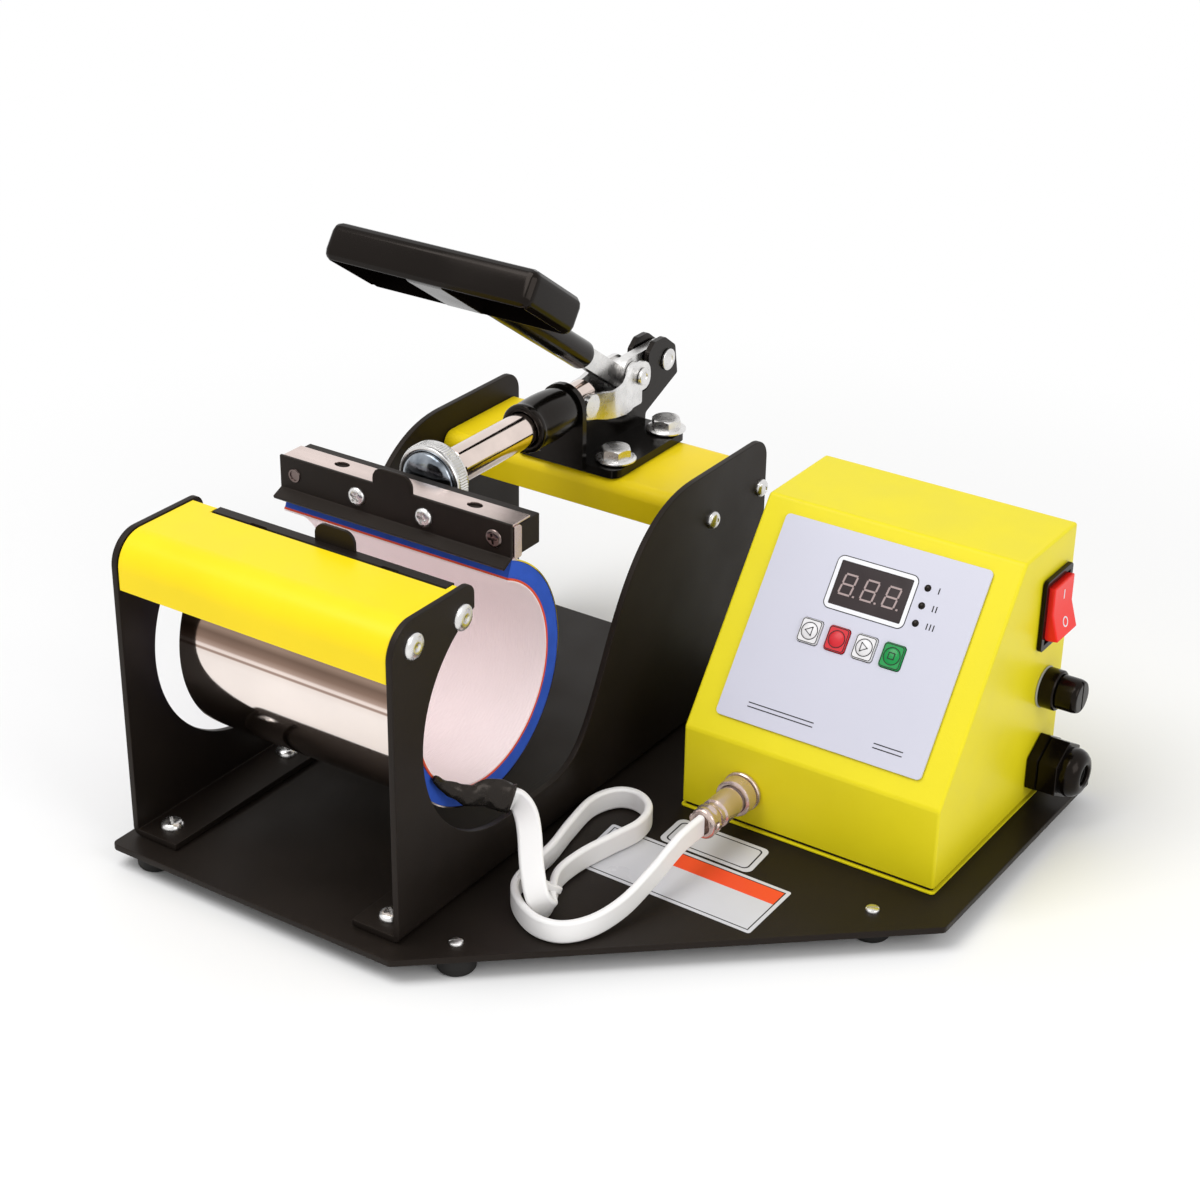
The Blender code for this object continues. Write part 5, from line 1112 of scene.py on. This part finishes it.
def rocker_marks():
    """A line on the upper face and a ring on the lower one, as raised print."""
    place = BENCH @ shift((BOX_RIGHT, 258, 93.5)) @ turned(-TILT, "Y")
    to_side = Matrix(((0, 0, 1, 0), (1, 0, 0, 0), (0, 1, 0, 0), (0, 0, 0, 1)))
    line = slab(-0.35, 0.35, -2.1, 2.1, -0.3, 0.16)
    ring = hoop(circle((0, 0), 2.3, 36), circle((0, 0), 1.7, 36), -0.3, 0.16)
    for mark, height, lean in ((line, 6.3, TILT), (ring, -6.3, -TILT)):
        face = 4.75 + tan(TILT) * abs(height)
        moved(mark, shift((face, 0, height)) @ turned(lean, "Y") @ to_side)
    show("rocker_print", together(line, ring), FRAME_WHITE, body="rocker", where=place)


def fuse():
    centre = (0, FUSE_Y, FUSE_Z)
    collar = [(7.6, 309.0), (8.4, 309.0), (9.0, 308.4), (9.0, 302.3), (6.2, 302.3), (6.2, 276),
        (3, 276), (3, 303.7), (7.6, 303.7)]
    show("fuse_holder_collar", lathe(collar, "X", centre, 56), PLASTIC, "fuse_holder", edge=0.2)
    gasket = [(6.6, 301.4), (9.3, 301.4), (9.4, 301.8), (9.2, 302.2), (6.6, 302.2)]
    show("fuse_holder_gasket", lathe(gasket, "X", centre, 56), GASKET)
    cap = [(0, 319.0), (6.2, 319.0), (6.9, 318.6), (7.3, 317.8), (7.6, 316.4), (7.6, 309.6),
        (7.2, 309.3), (7.0, 309.2), (7.0, 304.0), (0, 304.0)]
    knob = together(prism(knurled((FUSE_Y, FUSE_Z), 7.9, 0.4, 30), 309.8, 316.6, "X"),
        lathe(cap, "X", centre, 48))
    slot = block((317.9, FUSE_Y - 0.5, 48), (322, FUSE_Y + 0.5, 62))
    show("fuse_cap_knob", carved(knob, slot), PLASTIC, "fuse_cap", body="fuse_cap", edge=0.15)


def gland():
    centre = (0, GLAND_Y, GLAND_Z)

    def hexagon(radius, low, high, hole):
        outline = circle((GLAND_Y, GLAND_Z), radius, 6, 30)
        return carved(prism(outline, low, high, "X"), bore("X", centre, hole, low - 1, high + 1))

    tube = lathe([(4.2, 292.6), (9.5, 292.6), (9.5, 306.4), (4.2, 306.4)], "X", centre, 56)
    show("gland_body_hex", together(hexagon(14.3, 301.5, 306.5, 9.6), tube), PLASTIC, "gland_body",
        edge=0.5)
    dome = [(8.4, 306.9), (10.4, 306.9), (10.4, 316.4), (10.9, 317.4), (10.8, 319.2), (10.0, 321.2),
        (8.4, 322.9), (6.8, 323.6), (5.4, 323.7), (4.5, 323.2), (4.2, 314.0), (8.4, 313.6)]
    nut = together(hexagon(13.9, 306.8, 315.4, 10.2), lathe(dome, "X", centre, 72))
    show("gland_nut_dome", nut, PLASTIC, "gland_nut", edge=0.45, sharp=40)
    seal = lathe([(3.0, 322.0), (4.2, 321.8), (4.2, 312.0), (3.0, 312.0)], "X", centre, 40)
    show("gland_seal", seal, RUBBER)


dressed("switch_bezel", PLASTIC, 0.4, 3)
dressed("rocker", RED, 0.35, 3, 20)
rocker_marks()
fuse()
gland()


# Socket and plug

def plug_parts():
    centre = (PLUG_X, 0, PLUG_Z)
    socket = [(0, 174), (6.5, 174), (6.5, 163.0), (8.5, 163.0), (8.9, 162.6), (8.9, 161.6),
        (8.5, 161.1), (6.2, 160.9), (6.2, 153.6), (0, 153.6)]
    show("socket_turned", lathe(socket, "Y", centre, 56), NICKEL, "socket", sharp=30)

    def milled(angle, index):
        return -0.10 if cos(angle * 40) > 0.1 and 2 < index < 5 else 0.0

    ring = [(6.6, 160.5), (7.8, 160.5), (8.3, 160.1), (8.4, 159.6), (8.4, 155.2), (8.1, 154.5),
        (7.4, 154.1), (6.6, 154.1)]
    show("plug_ring_milled", lathe(ring, "Y", centre, 160, milled), NICKEL, "plug_ring",
        body="plug_ring", sharp=30)
    barrel = [(0, 153.2), (5.8, 153.2), (6.4, 152.6), (6.4, 140.6), (5.6, 139.9), (5.4, 138.4),
        (5.8, 137.4), (6.3, 136.6), (0, 136.4)]
    show("plug_barrel", lathe(barrel, "Y", centre, 56), NICKEL, "plug_body", sharp=30)

    def crinkled(angle, index):
        wave = noise.noise(Vector((cos(angle) * 1.6, sin(angle) * 1.6, index * 0.8)))
        return 0.45 * wave - 0.9 * abs(sin(angle)) ** 3

    jaws = [(4.4, 136.8), (6.0, 136.8), (6.8, 136.2), (7.0, 135.0), (6.6, 133.8), (6.5, 132.8),
        (6.9, 131.6), (6.9, 130.6), (6.3, 129.8), (5.2, 129.5), (4.6, 129.6)]
    screws = [pan_screw("X", (PLUG_X + side * 6.4, 133.0, PLUG_Z), side, 1.7, 0.9)
        for side in (-1, 1)]
    show("plug_clamp_jaws", together(lathe(jaws, "Y", centre, 48, crinkled), *screws), NICKEL,
        sharp=50)


plug_parts()


# Plain labels on the base plate, by their corners

LONG_LABEL = ((164.2, 133.5), (253.2, 131.9), (253.7, 96.8), (167.0, 98.5))
SMALL_LABEL = ((185.4, 154.3), (230.2, 154.1), (231.6, 133.8), (186.3, 134.6))
PAPER = 0.10                # the labels' top, over the base plate


def patch(corners, u0, v0, u1, v1, radius=0.0):
    """A piece of a label; u runs along its long sides and v down, both from 0 to 1."""
    first, second, third, fourth = (Vector(c) for c in corners)

    def spot(u, v):
        return first.lerp(second, u).lerp(fourth.lerp(third, u), v)

    return rounded([(*spot(u, v), radius) for u, v in ((u0, v0), (u1, v0), (u1, v1), (u0, v1))], 5)


def labels():
    sheets = [prism(patch(corners, 0, 0, 1, 1, radius), 0.02, PAPER)
        for corners, radius in ((LONG_LABEL, 1.2), (SMALL_LABEL, 3.2))]
    show("base_labels", together(*sheets), LABEL)
    borders = (
        (patch(LONG_LABEL, 0.02, 0.05, 0.98, 0.95),
            patch(LONG_LABEL, 0.026, 0.065, 0.974, 0.935)),
        (patch(SMALL_LABEL, 0.05, 0.10, 0.95, 0.90, 2.4),
            patch(SMALL_LABEL, 0.065, 0.13, 0.935, 0.87, 2.1)),
    )
    lines = [hoop(outer, inner, PAPER, PAPER + 0.03) for outer, inner in borders]
    show("base_label_borders", together(*lines), INK)
    show("base_label_band", prism(patch(LONG_LABEL, 0.40, 0.065, 0.974, 0.34), PAPER,
        PAPER + 0.025), LABEL_RED)


labels()


# Light and floor

def studio():
    """A white world, which the camera, mirrors and glass see brighter than it lights the press."""
    world = bpy.data.worlds.new("studio")
    SCENE.world = world
    world.use_nodes = True
    tree = world.node_tree
    rays = add_node(tree, "LightPath").outputs
    seen = rays["Is Camera Ray"]
    for kind in ("Is Glossy Ray", "Is Transmission Ray"):
        either = add_node(tree, "Math")
        either.operation = "MAXIMUM"
        tree.links.new(seen, either.inputs[0])
        tree.links.new(rays[kind], either.inputs[1])
        seen = either.outputs[0]
    feed(tree.nodes["Background"], Color=(1, 1, 1, 1), Strength=spread(tree, seen, 0, 1, 0.66, 1))


def lamp(name, place, target, size, power):
    data = bpy.data.lights.new(name, "AREA")
    data.size = size
    data.energy = power
    made = bpy.data.objects.new(name, data)
    SCENE.collection.objects.link(made)
    made.location = place
    made.rotation_euler = (Vector(target) - Vector(place)).to_track_quat("-Z", "Y").to_euler()


def pale_floor():
    """A floor that takes the press's shadow, and fades to plain white around it."""
    reach = 4
    mesh = bpy.data.meshes.new("floor")
    mesh.from_pydata([(-reach, -reach, 0), (reach, -reach, 0), (reach, reach, 0),
        (-reach, reach, 0)], [], [(0, 1, 2, 3)])
    floor = bpy.data.objects.new("floor", mesh)
    SCENE.collection.objects.link(floor)
    pale = bpy.data.materials.new("pale_floor")
    pale.use_nodes = True
    tree = pale.node_tree
    surface = feed(tree.nodes["Principled BSDF"], Base_Color=(0.90, 0.90, 0.90, 1), Roughness=0.9,
        Specular_IOR_Level=0.0)
    glow = add_node(tree, "Emission", Color=(1, 1, 1, 1), Strength=1.0)
    far = add_node(tree, "VectorMath")
    far.operation = "LENGTH"
    tree.links.new(add_node(tree, "TexCoord").outputs["Object"], far.inputs[0])
    fade = spread(tree, far.outputs["Value"], 0.22, 0.62)
    fade.node.interpolation_type = "SMOOTHSTEP"
    both = add_node(tree, "MixShader", Fac=fade)
    tree.links.new(surface.outputs["BSDF"], both.inputs[1])
    tree.links.new(glow.outputs["Emission"], both.inputs[2])
    feed(tree.nodes["Material Output"], Surface=both.outputs["Shader"])
    mesh.materials.append(pale)


studio()
lamp("key", (-0.35, -0.55, 1.35), (0, 0, 0.05), 0.9, 11)
lamp("side", (1.20, -0.25, 0.75), (0.05, 0, 0.08), 0.8, 5)
pale_floor()
